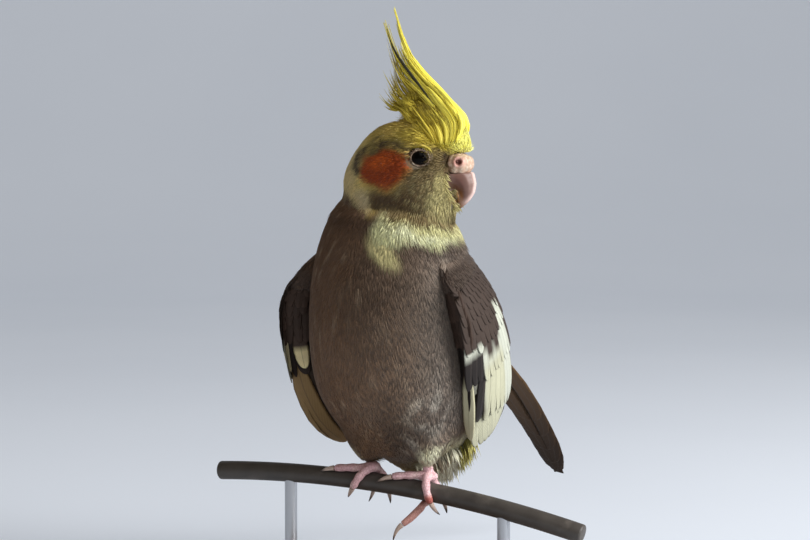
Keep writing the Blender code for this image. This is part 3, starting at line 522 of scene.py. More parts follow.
def mesh_piece(name, points, faces, finish, colours=None, layouts=None):
    """An object from arrays: places in bird millimetres, faces of three or four corners."""
    corners = np.concatenate([np.asarray(block).ravel() for block in faces])
    sizes = np.concatenate([np.full(len(block), np.shape(block)[1]) for block in faces])
    mesh = bpy.data.meshes.new(name)
    mesh.vertices.add(len(points))
    mesh.vertices.foreach_set("co", to_world(points).astype(np.float32).ravel())
    mesh.loops.add(len(corners))
    mesh.loops.foreach_set("vertex_index", corners.astype(np.int32))
    mesh.polygons.add(len(sizes))
    starts = np.concatenate([[0], np.cumsum(sizes)[:-1]])
    mesh.polygons.foreach_set("loop_start", starts.astype(np.int32))
    mesh.polygons.foreach_set("use_smooth", np.ones(len(sizes), bool))
    mesh.update(calc_edges=True)
    if colours is not None:
        tint = mesh.color_attributes.new("tint", "FLOAT_COLOR", "POINT")
        four = np.concatenate([colours, np.ones((len(colours), 1))], axis=1)
        tint.data.foreach_set("color", four.astype(np.float32).ravel())
    for layout_name, layout in (layouts or {}).items():
        layer = mesh.uv_layers.new(name=layout_name)
        layer.data.foreach_set("uv", layout[corners].astype(np.float32).ravel())
    mesh.materials.append(finish.material)
    made = bpy.data.objects.new(name, mesh)
    scene.collection.objects.link(made)
    return made


def ring_faces(rows, columns, closed=True):
    """Quads of a grid of rows by columns of points."""
    k = np.arange(columns if closed else columns - 1)
    near = np.arange(rows - 1)[:, None] * columns
    here, beside = near + k, near + (k + 1) % columns
    return np.stack([here, beside, beside + columns, here + columns], axis=-1).reshape(-1, 4)


def solid_copy(name, swell=0.0):
    """A mesh block of a CAD node with its corners joined and its surface moved out."""
    work = bmesh.new()
    work.from_mesh(nodes[name].data)
    bmesh.ops.remove_doubles(work, verts=work.verts, dist=1e-6)
    bmesh.ops.recalc_face_normals(work, faces=work.faces)
    work.normal_update()
    moves = [(vertex, vertex.co + vertex.normal * swell * MM) for vertex in work.verts]
    for vertex, place in moves:
        vertex.co = place
    block = bpy.data.meshes.new(name + "_copy")
    work.to_mesh(block)
    work.free()
    return block


def remeshed(name, blocks, voxel, smoothing, moved=0.0):
    """One closed surface round mesh blocks, smoothed and moved along its normals."""
    work = bmesh.new()
    for block in blocks:
        work.from_mesh(block)
        bpy.data.meshes.remove(block)
    mesh = bpy.data.meshes.new(name)
    work.to_mesh(mesh)
    work.free()
    made = bpy.data.objects.new(name, mesh)
    scene.collection.objects.link(made)
    remesh = made.modifiers.new("one_surface", "REMESH")
    remesh.mode = "VOXEL"
    remesh.voxel_size = voxel * MM
    smooth = made.modifiers.new("smooth", "SMOOTH")
    smooth.factor = 0.5
    smooth.iterations = smoothing
    shift = made.modifiers.new("shift", "DISPLACE")
    shift.mid_level = 0.0
    shift.strength = moved * MM
    bpy.context.view_layer.update()
    evaluated = made.evaluated_get(bpy.context.evaluated_depsgraph_get())
    final = bpy.data.meshes.new_from_object(evaluated)
    made.modifiers.clear()
    made.data = final
    final.shade_smooth()
    return made


def tinted(piece, colour_of, finish):
    """Paints a piece by a function of place and gives it its finish."""
    mesh = piece.data
    points = np.empty(len(mesh.vertices) * 3, np.float32)
    mesh.vertices.foreach_get("co", points)
    colours = colour_of(to_bird(points.reshape(-1, 3)))
    tint = mesh.color_attributes.new("tint", "FLOAT_COLOR", "POINT")
    four = np.concatenate([colours, np.ones((len(colours), 1))], axis=1)
    tint.data.foreach_set("color", four.astype(np.float32).ravel())
    mesh.materials.clear()
    mesh.materials.append(finish.material)
    return piece


# %% The crest's root as a form
PAD_ROWS = (
    (6.6, 18.0, 29.2, 4.4),
    (9.2, 14.0, 29.9, 5.6),
    (12.0, 12.0, 29.5, 6.3),
    (17.0, 8.0, 27.5, 6.6),
    (22.0, 4.0, 24.4, 6.0),
    (26.5, 5.0, 20.2, 3.2),
    (28.5, 8.5, 16.0, 1.4),
)
PAD_SIDES = 24


def pad_block():
    up, rear, front, half_width = spline(PAD_ROWS, np.linspace(0, 1, 14)).T
    turns = np.linspace(0, 2 * math.pi, PAD_SIDES, endpoint=False)
    middle, reach = (rear + front)[:, None] / 2, (front - rear)[:, None] / 2
    forward = middle + reach * np.cos(turns)
    side = half_width[:, None] * np.sin(turns)
    rows = head_place(forward, side, up[:, None] + 0 * forward)
    points = rows.reshape(-1, 3)
    work = bmesh.new()
    corners = [work.verts.new(point) for point in to_world(points)]
    for quad in ring_faces(14, PAD_SIDES):
        work.faces.new([corners[k] for k in quad])
    work.faces.new(corners[:PAD_SIDES][::-1])
    work.faces.new(corners[-PAD_SIDES:])
    bmesh.ops.recalc_face_normals(work, faces=work.faces)
    block = bpy.data.meshes.new("pad")
    work.to_mesh(block)
    work.free()
    return block


# %% One skin
SKIN_VOXEL = 0.9
COAT_DEPTH = 1.1
skin_finish = Finish("down_skin", Roughness=0.92, Specular_IOR_Level=0.25)
down = skin_finish.noise(skin_finish.place(), 900.0)
skin_finish.feed(Base_Color=skin_finish.mix(down, rgba(120, 110, 98), skin_finish.paint()))
skin_finish.bump(down, 0.6, 0.0004)

flesh = ("torso", "neck", "head", "thigh_left", "thigh_right")
blocks = [solid_copy(name, 0.35) for name in flesh] + [pad_block()]
skin = remeshed("skin", blocks, SKIN_VOXEL, 20, -COAT_DEPTH)
skin_places = np.empty(len(skin.data.vertices) * 3)
skin.data.vertices.foreach_get("co", skin_places)
skin_places = to_bird(skin_places.reshape(-1, 3))
body_part = smooth_step(100, 84, skin_places[:, 2]) * smooth_step(-4, 8, skin_places[:, 2])
group = skin.vertex_groups.new(name="body_part")
for index, weight in enumerate(body_part):
    group.add([index], float(weight), "REPLACE")
rounding = skin.modifiers.new("rounding", "SMOOTH")
rounding.factor = 0.5
rounding.iterations = 140
rounding.vertex_group = "body_part"
bpy.context.view_layer.update()
rounded = skin.evaluated_get(bpy.context.evaluated_depsgraph_get())
rounded_mesh = bpy.data.meshes.new_from_object(rounded)
skin.modifiers.clear()
skin.data = rounded_mesh
skin.vertex_groups.clear()
tinted(skin, lambda places: plumage(places) * 0.6, skin_finish)
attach(skin, "root")
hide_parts(*flesh)
print("skin triangles:", sum(len(face.vertices) - 2 for face in skin.data.polygons))

# %% [markdown]
# ## The small feathers
# The coat is tens of thousands of short soft feathers. Each is a thin closed blade
# with a low ridge, rooted in the skin and lying along it. On the face they lie back
# from the bill; down the neck and body they lie towards the tail.

# %% The lie of the feathers


def lie_of_feathers(places, normals):
    """Unit directions along the skin in which the feathers lie."""
    forward, side, up = head_numbers(places)
    below = smooth_step(2, -12, up)
    origin = head_place(26.5 - 3.5 * below, 0 * up, 3.5 + 7.0 * below)
    from_bill = unit(places - origin)
    head_share = smooth_step(-19, -6, up + 0.3 * forward)[:, None]
    x, y, z = places.T
    down_body = np.stack([0.10 * x / 30, 0.25 + 0 * y, -1 + 0 * z], axis=1)
    under = (smooth_step(12, 0, z) * (1 - thigh_share(places)))[:, None]
    down_body = down_body * (1 - under) + np.array((0.0, 1.0, -0.35)) * under
    lie = unit(from_bill + (0, 0, -0.25)) * head_share + unit(down_body) * (1 - head_share)
    swirl = [ripple(places, 8.0, seed) for seed in (51, 52, 53)]
    lie = lie + (0.15 - 0.07 * head_share) * np.stack(swirl, axis=1)
    lie = lie - normals * np.sum(lie * normals, axis=1, keepdims=True)
    return unit(lie)


# %% Where the feathers are rooted
EYE_FACES_FORWARD = 0.37


def node_points(name):
    """The corners of a CAD node as places on the bird."""
    mesh = nodes[name].data
    points = np.empty(len(mesh.vertices) * 3)
    mesh.vertices.foreach_get("co", points)
    return to_bird(points.reshape(-1, 3))


FACE_DENSITY = 9.0
BODY_DENSITY = 5.0
BACK_DENSITY = 2.4


def head_share_of(places):
    forward, side, up = head_numbers(places)
    return smooth_step(-21, -15, up + 0.3 * forward)


def coat_sizes(places):
    """Density, length, width and lift of the feathers at places."""
    forward, side, up = head_numbers(places)
    head = head_share_of(places)
    back = smooth_step(8, 24, places[:, 1])
    density = BODY_DENSITY + (BACK_DENSITY - BODY_DENSITY) * back
    density = density + (FACE_DENSITY - density) * head
    length = 6.4 + (4.6 - 6.4) * smooth_step(-22, -4, up)
    length = length + (2.7 - length) * smooth_step(14, 24, forward) * head
    crown = head * smooth_step(7, 13, up) * smooth_step(-12, 4, forward)
    length = length + (7.5 - length) * crown
    width = 0.60 + (0.29 - 0.60) * smooth_step(-26, -10, up)
    lift = 0.035 + 0.025 * head
    thigh = thigh_share(places)
    length = length + (8.0 - length) * thigh
    lift = lift + 0.07 * thigh + 0.06 * smooth_step(8, 0, places[:, 2])
    jaw = smooth_step(-10, -14, up) * smooth_step(-22, -18, up + 0.3 * forward)
    length = length + (5.2 - length) * 0.8 * jaw
    lift = lift + 0.13 * jaw
    return density, length, width, lift


def triangles_of(piece):
    mesh = piece.data
    mesh.calc_loop_triangles()
    points = np.empty(len(mesh.vertices) * 3)
    mesh.vertices.foreach_get("co", points)
    normals = np.empty(len(mesh.vertices) * 3)
    mesh.vertices.foreach_get("normal", normals)
    corners = np.empty(len(mesh.loop_triangles) * 3, int)
    mesh.loop_triangles.foreach_get("vertices", corners)
    return to_bird(points.reshape(-1, 3)), normals.reshape(-1, 3), corners.reshape(-1, 3)


def rooted(piece, seed):
    """Root places and normals spread over a surface by the coat's density."""
    points, normals, corners = triangles_of(piece)
    a, b, c = (points[corners[:, k]] for k in range(3))
    area = np.linalg.norm(np.cross(b - a, c - a), axis=1) / 2
    share = np.cumsum(area * coat_sizes((a + b + c) / 3)[0])
    dice = np.random.default_rng(seed)
    count = int(share[-1])
    picks = np.searchsorted(share, (np.arange(count) + dice.random(count)) * share[-1] / count)
    picks = np.minimum(picks, len(share) - 1)
    first, second = np.sqrt(dice.random(count))[:, None], dice.random(count)[:, None]
    weights = np.concatenate([1 - first, first * (1 - second), first * second], axis=1)
    places = np.einsum("nk,nkd->nd", weights, points[corners[picks]])
    directions = np.einsum("nk,nkd->nd", weights, normals[corners[picks]])
    return places, unit(directions)


skin_points, _, skin_corners = triangles_of(skin)
skin_tree = BVHTree.FromPolygons(to_world(skin_points).tolist(), skin_corners.tolist())
roots, root_normals = rooted(skin, 61)
eye_axes = []
for eye_side, name in ((1, "eye_right"), (-1, "eye_left")):
    corners = node_points(name)
    middle = (corners.min(axis=0) + corners.max(axis=0)) / 2
    eye_axes.append((middle, unit(eye_side * HEAD_RIGHT + EYE_FACES_FORWARD * HEAD_FORWARD)))


def clear_of_eyes(places, normals, reach):
    """Whether feathers rooted at places stay off the eyes and their bare rings."""
    clear = np.ones(len(places), bool)
    lie = lie_of_feathers(places, normals)
    for share, ring in ((0.0, 3.95), (0.5, 3.7), (0.9, 3.6)):
        tips = places + lie * (reach * share)[:, None]
        for middle, axis in eye_axes:
            away = tips - middle
            depth = away @ axis
            off_axis = np.linalg.norm(away - depth[:, None] * axis, axis=1)
            clear &= (off_axis > ring) | (depth < 0)
    return clear


def under_wings(places, normals):
    """Whether a folded wing lies over all of a feather rooted there."""
    covered = head_share_of(places) < 0.05
    lie = lie_of_feathers(places, normals)
    for name in ("wing_left", "wing_right"):
        points, _, corners = triangles_of(nodes[name])
        tree = BVHTree.FromPolygons(to_world(points).tolist(), corners.tolist())
        over = covered.copy()
        for along in (-3.5, 0.0, 7.0):
            starts = to_world(places + lie * along + normals)
            for index in np.flatnonzero(over):
                over[index] = tree.ray_cast(Vector(starts[index]), Vector(normals[index]), 0.014)[0] is not None
        yield over


kept = clear_of_eyes(roots, root_normals, coat_sizes(roots)[1])
roots_forward, roots_side, roots_up = head_numbers(roots)
kept &= ~((roots_forward > 22.6) & (np.abs(roots_up + 8.8) < 3.9))
for over in under_wings(roots, root_normals):
    kept &= ~over
roots, root_normals = roots[kept], root_normals[kept]
print("feathers rooted:", len(roots))

# %% Feathers as blades
BLADE_SHARES = np.array((0.0, 0.5, 1.0))
BLADE_WIDTHS = np.array((0.75, 1.0))
PATCH = 0.003
BLADE_FACES = (
    (0, 1, 4, 3),
    (1, 2, 5, 4),
    (2, 0, 3, 5),
)
BLADE_ENDS = ((0, 2, 1), (3, 4, 6), (4, 5, 6), (5, 3, 6))


def unwrapped(places):
    """Each place's spot on a flat layout: the body round its axis, the head round its own."""
    forward, side, up = head_numbers(places)
    around = np.arctan2(places[:, 0], -places[:, 1]) / (2 * math.pi) + 0.5
    body = np.stack([0.02 + 0.94 * around, 0.02 + 0.5 * (places[:, 2] + 12) / 105], axis=1)
    turn = np.arctan2(side, forward - 3) / (2 * math.pi) + 0.5
    head = np.stack([0.02 + 0.94 * turn, 0.56 + 0.4 * (up + 24) / 56], axis=1)
    on_head = (up + 0.3 * forward > -18)[:, None]
    return np.clip(np.where(on_head, head, body), 0.004, 0.996)


def stand_off(surface, places, target):
    """How far to raise places so that they stand a target distance over a surface."""
    raised = np.empty(len(places))
    for index, place in enumerate(to_world(places)):
        near, normal, _, _ = surface.find_nearest(Vector(place))
        raised[index] = (Vector(place) - near).dot(normal) / MM
    return target - raised


def blades(places, normals, lie, length, width, lift, colours, dice, surface=None):
    """Points, quads, triangles, colours and layout of feathers as ridged blades."""
    count = len(places)
    across = unit(np.cross(normals, lie))
    height = width * 0.26
    tone = dice.normal(1.0, 0.13, count)[:, None]
    points = np.empty((count, 7, 3))
    shades = np.empty((count, 7, 3))
    spots = np.empty((count, 7, 2))
    home = unwrapped(places)
    bend = dice.normal(0, 0.07, count)[:, None]
    tip_rise, mid_rise = 0.25 + length * lift, 0.2 + 0.6 * length * lift
    if surface is not None:
        tip_rise = stand_off(surface, places + lie * length[:, None], tip_rise)
        mid_rise = stand_off(surface, places + lie * length[:, None] / 2, mid_rise)
    rises = (0 * length - 0.35, mid_rise, np.clip(tip_rise, -0.15 * length, 0.7 * length))
    for ring, share in enumerate(BLADE_SHARES):
        rise = rises[ring][:, None]
        middle = places + lie * (length * share)[:, None] + normals * rise
        middle = middle + across * bend * length[:, None] * share * share
        # painted shade: each feather is darker at its root, where the feathers over it shade it, and lighter towards
        # its tip
        shade = np.clip(colours * tone * (0.80 + 0.27 * share), 0, 1)
        if ring == 2:
            points[:, 6] = middle
            shades[:, 6] = shade
            spots[:, 6] = home + (0, PATCH / 2)
            continue
        half = (width * BLADE_WIDTHS[ring] / 2)[:, None]
        ridge = (height * BLADE_WIDTHS[ring])[:, None]
        points[:, 3 * ring] = middle - across * half
        points[:, 3 * ring + 1] = middle + across * half
        points[:, 3 * ring + 2] = middle + normals * ridge
        shades[:, 3 * ring : 3 * ring + 3] = shade[:, None]
        row = (share - 0.5) * PATCH
        spots[:, 3 * ring] = home + (-PATCH / 2, row)
        spots[:, 3 * ring + 1] = home + (PATCH / 2, row)
        spots[:, 3 * ring + 2] = home + (0.0, row)
    start = (np.arange(count) * 7)[:, None, None]
    quads = (np.array(BLADE_FACES)[None] + start).reshape(-1, 4)[:, ::-1]
    ends = (np.array(BLADE_ENDS)[None] + start).reshape(-1, 3)[:, ::-1]
    return points.reshape(-1, 3), quads, ends, shades.reshape(-1, 3), spots.reshape(-1, 2)


# %% The coat's pieces
SHOWN_SHARE = 0.62  # a feather shows its outer part, so it takes the colour of that place
coat_finish = Finish("soft_feathers", Roughness=0.7, Specular_IOR_Level=0.18)
coat_finish.shader.inputs["Sheen Weight"].default_value = 0.05
coat_finish.feed(Base_Color=coat_finish.paint())

roots_forward, roots_side, roots_up = head_numbers(roots)
on_head = head_share_of(roots) > 0.5
on_front = roots[:, 1] < 10
coat_parts = {
    "coat_face_right": on_head & (roots_forward > 0) & (roots_side > 0),
    "coat_face_left": on_head & (roots_forward > 0) & (roots_side <= 0),
    "coat_nape": on_head & (roots_forward <= 0),
    "coat_neck": ~on_head & (roots[:, 2] > 72),
    "coat_breast_left": ~on_head & on_front & (roots[:, 0] >= 0) & (roots[:, 2] <= 72) & (roots[:, 2] > 36),
    "coat_breast_right": ~on_head & on_front & (roots[:, 0] < 0) & (roots[:, 2] <= 72) & (roots[:, 2] > 36),
    "coat_belly": ~on_head & on_front & (roots[:, 2] <= 36),
    "coat_back_left": ~on_head & ~on_front & (roots[:, 2] <= 72) & (roots[:, 0] >= 0),
    "coat_back_right": ~on_head & ~on_front & (roots[:, 2] <= 72) & (roots[:, 0] < 0),
}
yellow_parts = ("coat_face_right", "coat_face_left", "coat_nape")
coat_dice = np.random.default_rng(62)
for part_name, chosen in coat_parts.items():
    places, normals = roots[chosen], root_normals[chosen]
    density, length, width, lift = coat_sizes(places)
    length = length * coat_dice.normal(1.0, 0.13, len(places))
    lift = lift * coat_dice.uniform(0.4, 1.7, len(places))
    lie = lie_of_feathers(places, normals)
    colours = plumage(places + lie * (SHOWN_SHARE * length)[:, None])
    points, quads, ends, shades, spots = blades(
        places, normals, lie, length, width, lift, colours, coat_dice, skin_tree
    )
    piece = mesh_piece(part_name, points, (quads, ends), coat_finish, shades, {"OFBake": spots})
    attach(piece, "root")
    "yellow_plumage" if part_name in yellow_parts else "grey_plumage"
    print(part_name, "feathers:", len(places), "triangles:", len(places) * 10)

# %% [markdown]
# Short bristly feathers frame the bill: those of the forehead hang over the top of the
# cere, and those of the cheek and chin reach forward over the edge of the bill.

# %% Bristles round the bill
bristle_dice = np.random.default_rng(63)
EDGE_ROWS = (
    # count, lowest and highest up, the way they point (forward, side, up), reach, colour
    (300, -12.5, 0.5, (0.62, -0.30, -0.72), 3.4, (186, 174, 116)),
    (160, 0.5, 7.5, (0.84, -0.20, -0.40), 3.2, (128, 106, 74)),
)
MARCH = np.linspace(29, 12, 69)


def skin_edge(up, flank):
    """The foremost place of the skin at a height, seen from one side, and its normal."""
    sideways = Vector(-flank * HEAD_RIGHT)
    for forward in MARCH:
        start = to_world(head_place(forward, 20.0 * flank, up))
        hit, normal, _, _ = skin_tree.ray_cast(Vector(start.ravel()), sideways, 0.019)
        if hit is not None:
            return hit, normal
    return None


bristle_parts, bristle_offset = [[], [], [], [], []], 0
for count, low, high, way, reach, colour in EDGE_ROWS:
    places, out, flanks = [], [], []
    for _ in range(count):
        flank = 1.0 if bristle_dice.random() < 0.5 else -1.0
        found = skin_edge(bristle_dice.uniform(low, high), flank)
        if found is not None and (to_bird(np.array(found[0])) - HEAD_CENTRE) @ HEAD_FORWARD < 23.5:
            places.append(to_bird(np.array(found[0])))
            out.append(unit(np.array(found[1]) + flank * 1.2 * HEAD_RIGHT))
            flanks.append(flank)
    places, out, flanks = np.array(places), np.array(out), np.array(flanks)[:, None]
    places = places - HEAD_FORWARD * bristle_dice.uniform(0.2, 2.4, len(places))[:, None]
    lie = way[0] * HEAD_FORWARD + flanks * way[1] * HEAD_RIGHT + way[2] * UP
    lie = unit(lie + bristle_dice.normal(0, 0.13, lie.shape))
    out = unit(out - lie * np.sum(out * lie, axis=1, keepdims=True))
    length = bristle_dice.normal(reach, 0.4, len(places))
    width, lift = np.full(len(places), 0.36), bristle_dice.uniform(0.02, 0.14, len(places))
    tones = np.tile(srgb(*colour), (len(places), 1))
    block = blades(places + out * 0.5, out, lie, length, width, lift, tones, bristle_dice)
    for index, part in enumerate(block):
        bristle_parts[index].append(part + (bristle_offset if index in (1, 2) else 0))
    bristle_offset += len(block[0])
points, quads, ends, shades, spots = [np.concatenate(part) for part in bristle_parts]
bristles = mesh_piece("coat_bristles", points, (quads, ends), coat_finish, shades, {"OFBake": spots})
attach(bristles, "root")
print("bristles:", len(points) // 7)

# %% [markdown]
# Longer soft feathers hang behind the legs: grey white under the vent, and a yellow
# tuft beside the left wing's tip.

# %% Vent feathers
VENT_ROWS = (
    # count, x, y and z of the roots, the way they point, reach, colour
    (540, (2.0, 18.0), (14.0, 32.0), (2.0, 9.0), (0.05, 0.25, -0.9), 7.0, (222, 218, 190)),
    (160, (15.0, 21.0), (22.0, 32.0), (4.0, 12.0), (0.16, 0.0, -1.0), 8.5, (206, 196, 112)),
)
vent_dice = np.random.default_rng(64)
vent_parts, vent_offset = [[], [], [], [], []], 0
for count, x_range, y_range, z_range, way, reach, colour in VENT_ROWS:
    spread = [vent_dice.uniform(low, high, count) for low, high in (x_range, y_range, z_range)]
    found = [skin_tree.find_nearest(Vector(place))[:2] for place in to_world(np.stack(spread, axis=1))]
    places = to_bird(np.array([near for near, normal in found]))
    out = np.array([normal for near, normal in found])
    lie = unit(np.array(way) + vent_dice.normal(0, 0.10, (count, 3)))
    out = unit(out - lie * np.sum(out * lie, axis=1, keepdims=True) + (0.3, 0.3, 0.0))
    out = unit(out - lie * np.sum(out * lie, axis=1, keepdims=True))
    length = vent_dice.normal(reach, 1.0, count)
    width, lift = vent_dice.uniform(1.0, 1.7, count), vent_dice.uniform(0.0, 0.06, count)
    tones = np.tile(srgb(*colour), (count, 1))
    block = blades(places, out, lie, length, width, lift, tones, vent_dice)
    for index, part in enumerate(block):
        vent_parts[index].append(part + (vent_offset if index in (1, 2) else 0))
    vent_offset += len(block[0])
points, quads, ends, shades, spots = [np.concatenate(part) for part in vent_parts]
vent = mesh_piece("coat_vent", points, (quads, ends), coat_finish, shades, {"OFBake": spots})
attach(vent, "root")
print("vent feathers:", len(points) // 7)

# %% [markdown]
# ## Long feathers
# Wing and tail feathers are stiff blades with a shaft. Each is built as a closed vane:
# a row of sections, arched across, thin at the edges and rounded at the tip. A layout
# named "vane" runs from 0 to 1 along and across it, for the shaft and the barbs.

# %% One vane
VANE_T = np.array((0.0, 0.1, 0.24, 0.4, 0.55, 0.68, 0.79, 0.87, 0.93, 0.97, 0.992, 1.0))
TOP_COLUMNS = np.array((-1.0, -0.7, -0.38, -0.08, 0.08, 0.38, 0.7, 1.0))
LOW_COLUMNS = np.array((0.7, 0.3, -0.3, -0.7))
COLUMNS = np.concatenate([TOP_COLUMNS, LOW_COLUMNS])


def vane_profile(t, root_share=0.34, tip_start=0.55, roundness=2.3):
    """The share of the full half width along a vane."""
    rise = root_share + (1 - root_share) * smooth_step(0, 0.5, t)
    past = np.clip((t - tip_start) / (1 - tip_start), 0, 0.9985)
    return rise * (1 - past**roundness) ** (1 / roundness)


def vane_points(middles, sideways, outward, half_widths, camber=0.10, thickness=0.14, shaft=0.07, columns=COLUMNS):
    """Rings of points for one vane, shape (stations, columns, 3)."""
    s = columns[None, :]
    is_low = np.arange(len(columns)) > np.argmax(columns)
    arch = camber * half_widths[:, None] * (1 - s * s)
    depth = np.where(is_low, -thickness * (1 - s * s) - 0.06, 0.0)
    ridge = np.where((np.abs(s) < 0.1) & ~is_low, shaft, 0.0)
    lift = arch + depth + ridge
    spread = s * half_widths[:, None]
    return middles[:, None] + sideways[:, None] * spread[..., None] + outward[:, None] * lift[..., None]


class Plume:
    """Collects vanes into one mesh."""

    def __init__(self):
        self.points, self.quads, self.caps = [], [], []
        self.colours, self.layout, self.spots = [], [], []
        self.count = 0

    def add(self, rings, colours, home, across=COLUMNS):
        """One vane: its rings, its colours of shape (stations, columns, 3) and its spot."""
        stations, columns = rings.shape[:2]
        start = self.count
        self.points.append(rings.reshape(-1, 3))
        self.colours.append(np.clip(colours, 0, 1).reshape(-1, 3))
        self.quads.append(ring_faces(stations, columns) + start)
        ends = np.arange(columns)
        self.caps.append(np.stack([ends[::-1] + start, ends + start + (stations - 1) * columns]))
        t = np.linspace(0, 1, stations)[:, None] + 0 * across[None, :]
        s = (across[None, :] + 1) / 2 + 0 * t
        self.layout.append(np.stack([t, s], axis=-1).reshape(-1, 2))
        spot = np.asarray(home) + np.stack([s - 0.5, t - 0.5], axis=-1) * PATCH
        self.spots.append(spot.reshape(-1, 2))
        self.count += stations * columns

    def piece(self, name, finish):
        return mesh_piece(
            name,
            np.concatenate(self.points),
            (np.concatenate(self.quads), np.concatenate(self.caps)),
            finish,
            np.concatenate(self.colours),
            {"vane": np.concatenate(self.layout), "OFBake": np.concatenate(self.spots)},
        )


# %% The finish of long feathers


def vane_finish(name, **constants):
    """Barbs run out from the shaft at a slant, and the shaft is a fine shiny line."""
    finish = Finish(name, Roughness=0.5, Specular_IOR_Level=0.2, **constants)
    along, across, _ = finish.parts(finish.layout("vane"))
    off_shaft = (across - 0.5).size()
    barb = ((along * 26.0 + off_shaft * 9.0) * (2 * math.pi)).sine()
    fine = finish.noise(finish.place(), 420.0, 2.0)
    on_shaft = (1.0 - off_shaft * 26.0).clipped()
    darker = finish.mix((barb * 0.03 + 0.04 + fine * 0.12).clipped(), finish.paint(), rgba(20, 17, 15))
    finish.feed(Base_Color=finish.mix(on_shaft * 0.55, darker, rgba(58, 46, 38)))
    finish.feed(Roughness=(0.68 - on_shaft * 0.25))
    finish.bump(barb * 0.5 + fine, 0.35, 0.00012)
    return finish


feather_finish = vane_finish("long_feathers")

# %% [markdown]
# ## The wings
# Each wing hangs folded, a little open, so its lower edge curves round the flank. The
# face of the wing is a curved sheet between three rails. Every feather lies on that
# sheet: first the flight feathers, then rows of coverts, each over the one behind.

# %% The wing's sheet
WING_LOWER = ((24, -13, 80), (33, -18, 67), (36, -13, 50), (33, -3, 30), (27, 13, 14), (19, 42, 7), (8, 97, 15))
WING_MIDDLE = ((24, -4, 84), (31.5, 2, 75), (37.5, 10, 61), (37.5, 22, 46), (32.5, 38, 32), (21, 61, 21), (7.6, 98, 16))
WING_UPPER = ((19, 4, 87), (22, 17, 80), (23, 30, 70), (22, 43, 58), (18, 57, 46), (12, 76, 32), (7, 98.5, 17))
HELD_OFF = {"left": (0, 0, 0, 0, 0, 0, 0), "right": (2, 3.5, 4.5, 7, 9, 9, 3)}
DROOP = {"left": (0, 0, 0, 1.5, 4.5, 4.5, 1), "right": (0, 0, 0, 2, 5, 7, 2)}
UPPER_DROOP = 0.4


def wing_place(side, along, across):
    """Places on the folded wing's outer face: along to the tip, across to the upper edge."""
    low, middle, high = (spline(rail, along) for rail in (WING_LOWER, WING_MIDDLE, WING_UPPER))
    bulge = 2 * middle - (low + high) / 2
    share = np.asarray(across, float)[:, None]
    place = low * (1 - share) ** 2 + 2 * bulge * share * (1 - share) + high * share**2
    off, drop = spline(list(zip(HELD_OFF[side], DROOP[side])), along).T
    place[:, 0] += off
    place[:, 2] -= drop * (1 - (1 - UPPER_DROOP) * share[:, 0])
    return place * (1 if side == "left" else -1, 1, 1)


def wing_outward(side, along, across):
    step = 0.01
    ahead = wing_place(side, along + step, across) - wing_place(side, along - step, across)
    over = wing_place(side, along, across + step) - wing_place(side, along, across - step)
    normal = unit(np.cross(ahead, over))
    outside = 1 if side == "left" else -1
    return normal * np.where(normal[:, :1] * outside > 0, 1, -1)


# %% [markdown]
# The wing's markings are painted on the sheet: dark brown coverts, a white patch
# towards the bend's lower edge that runs on into cream secondaries, dark wedges
# between them, and dark primaries. Each feather takes part of its colour from its
# own middle, so that the edges of the markings follow the feathers.

# %% Wing colours


def box(u, v, low, high, soft):
    """A soft box mask between two corners."""
    mask = smooth_step(low[0] - soft, low[0] + soft, u) * smooth_step(high[0] + soft, high[0] - soft, u)
    mask = mask * smooth_step(low[1] - soft, low[1] + soft, v)
    return mask * smooth_step(high[1] + soft, high[1] - soft, v)


def wing_colour(side, along, across):
    colour = np.tile(srgb(66, 54, 47), (len(along), 1))
    colour = blended(colour, srgb(50, 39, 32), smooth_step(0.3, 0.6, along))
    cream, white, black = srgb(190, 188, 160), srgb(192, 194, 178), srgb(32, 27, 25)
    if side == "left":
        edge = 0.420 - 0.12 * smooth_step(0.33, 0.42, across) - 0.03 * smooth_step(0.16, 0.08, across)
        edge = edge + 0.010 * np.sin(across * 62 + 2)
        white_part = smooth_step(edge - 0.007, edge + 0.007, along)
        outer = 0.545 + 0.05 * smooth_step(0.45, 0.6, along)
        inner_edge = 0.10 + 0.05 * smooth_step(0.5, 0.8, along)
        white_part = white_part * smooth_step(inner_edge, inner_edge + 0.03, across)
        white_part = white_part * smooth_step(outer + 0.02, outer - 0.02, across)
        colour = blended(colour, white, white_part * smooth_step(0.84, 0.76, along))
        inner = box(along, across, (0.44, 0.12), (0.82, 0.36), 0.02)
        colour = blended(colour, cream, inner)
        colour = blended(colour, white, box(along, across, (0.358, -0.3), (0.390, 0.12), 0.004))
        colour = blended(colour, black, box(along, across, (0.395, -0.3), (0.64, 0.10), 0.006))
        colour = blended(colour, cream, box(along, across, (0.48, -0.4), (0.72, 0.03), 0.012))
        colour = blended(colour, cream, box(along, across, (0.60, -0.1), (0.745, 0.16), 0.02))
        colour = blended(colour, black, smooth_step(0.75, 0.80, along) * smooth_step(0.3, 0.1, across))
    else:
        colour = blended(colour, cream, box(along, across, (0.42, 0.10), (0.50, 0.48), 0.012))
        colour = blended(colour, black, box(along, across, (0.50, 0.0), (0.53, 0.48), 0.010))
        colour = blended(colour, srgb(196, 176, 112), box(along, across, (0.53, 0.12), (0.70, 0.48), 0.014))
        colour = blended(colour, black, box(along, across, (0.63, 0.20), (0.72, 0.34), 0.012))
        colour = blended(colour, white, box(along, across, (0.36, -0.4), (0.455, 0.05), 0.012))
        colour = blended(colour, black, box(along, across, (0.40, 0.055), (0.52, 0.11), 0.012))
    return colour


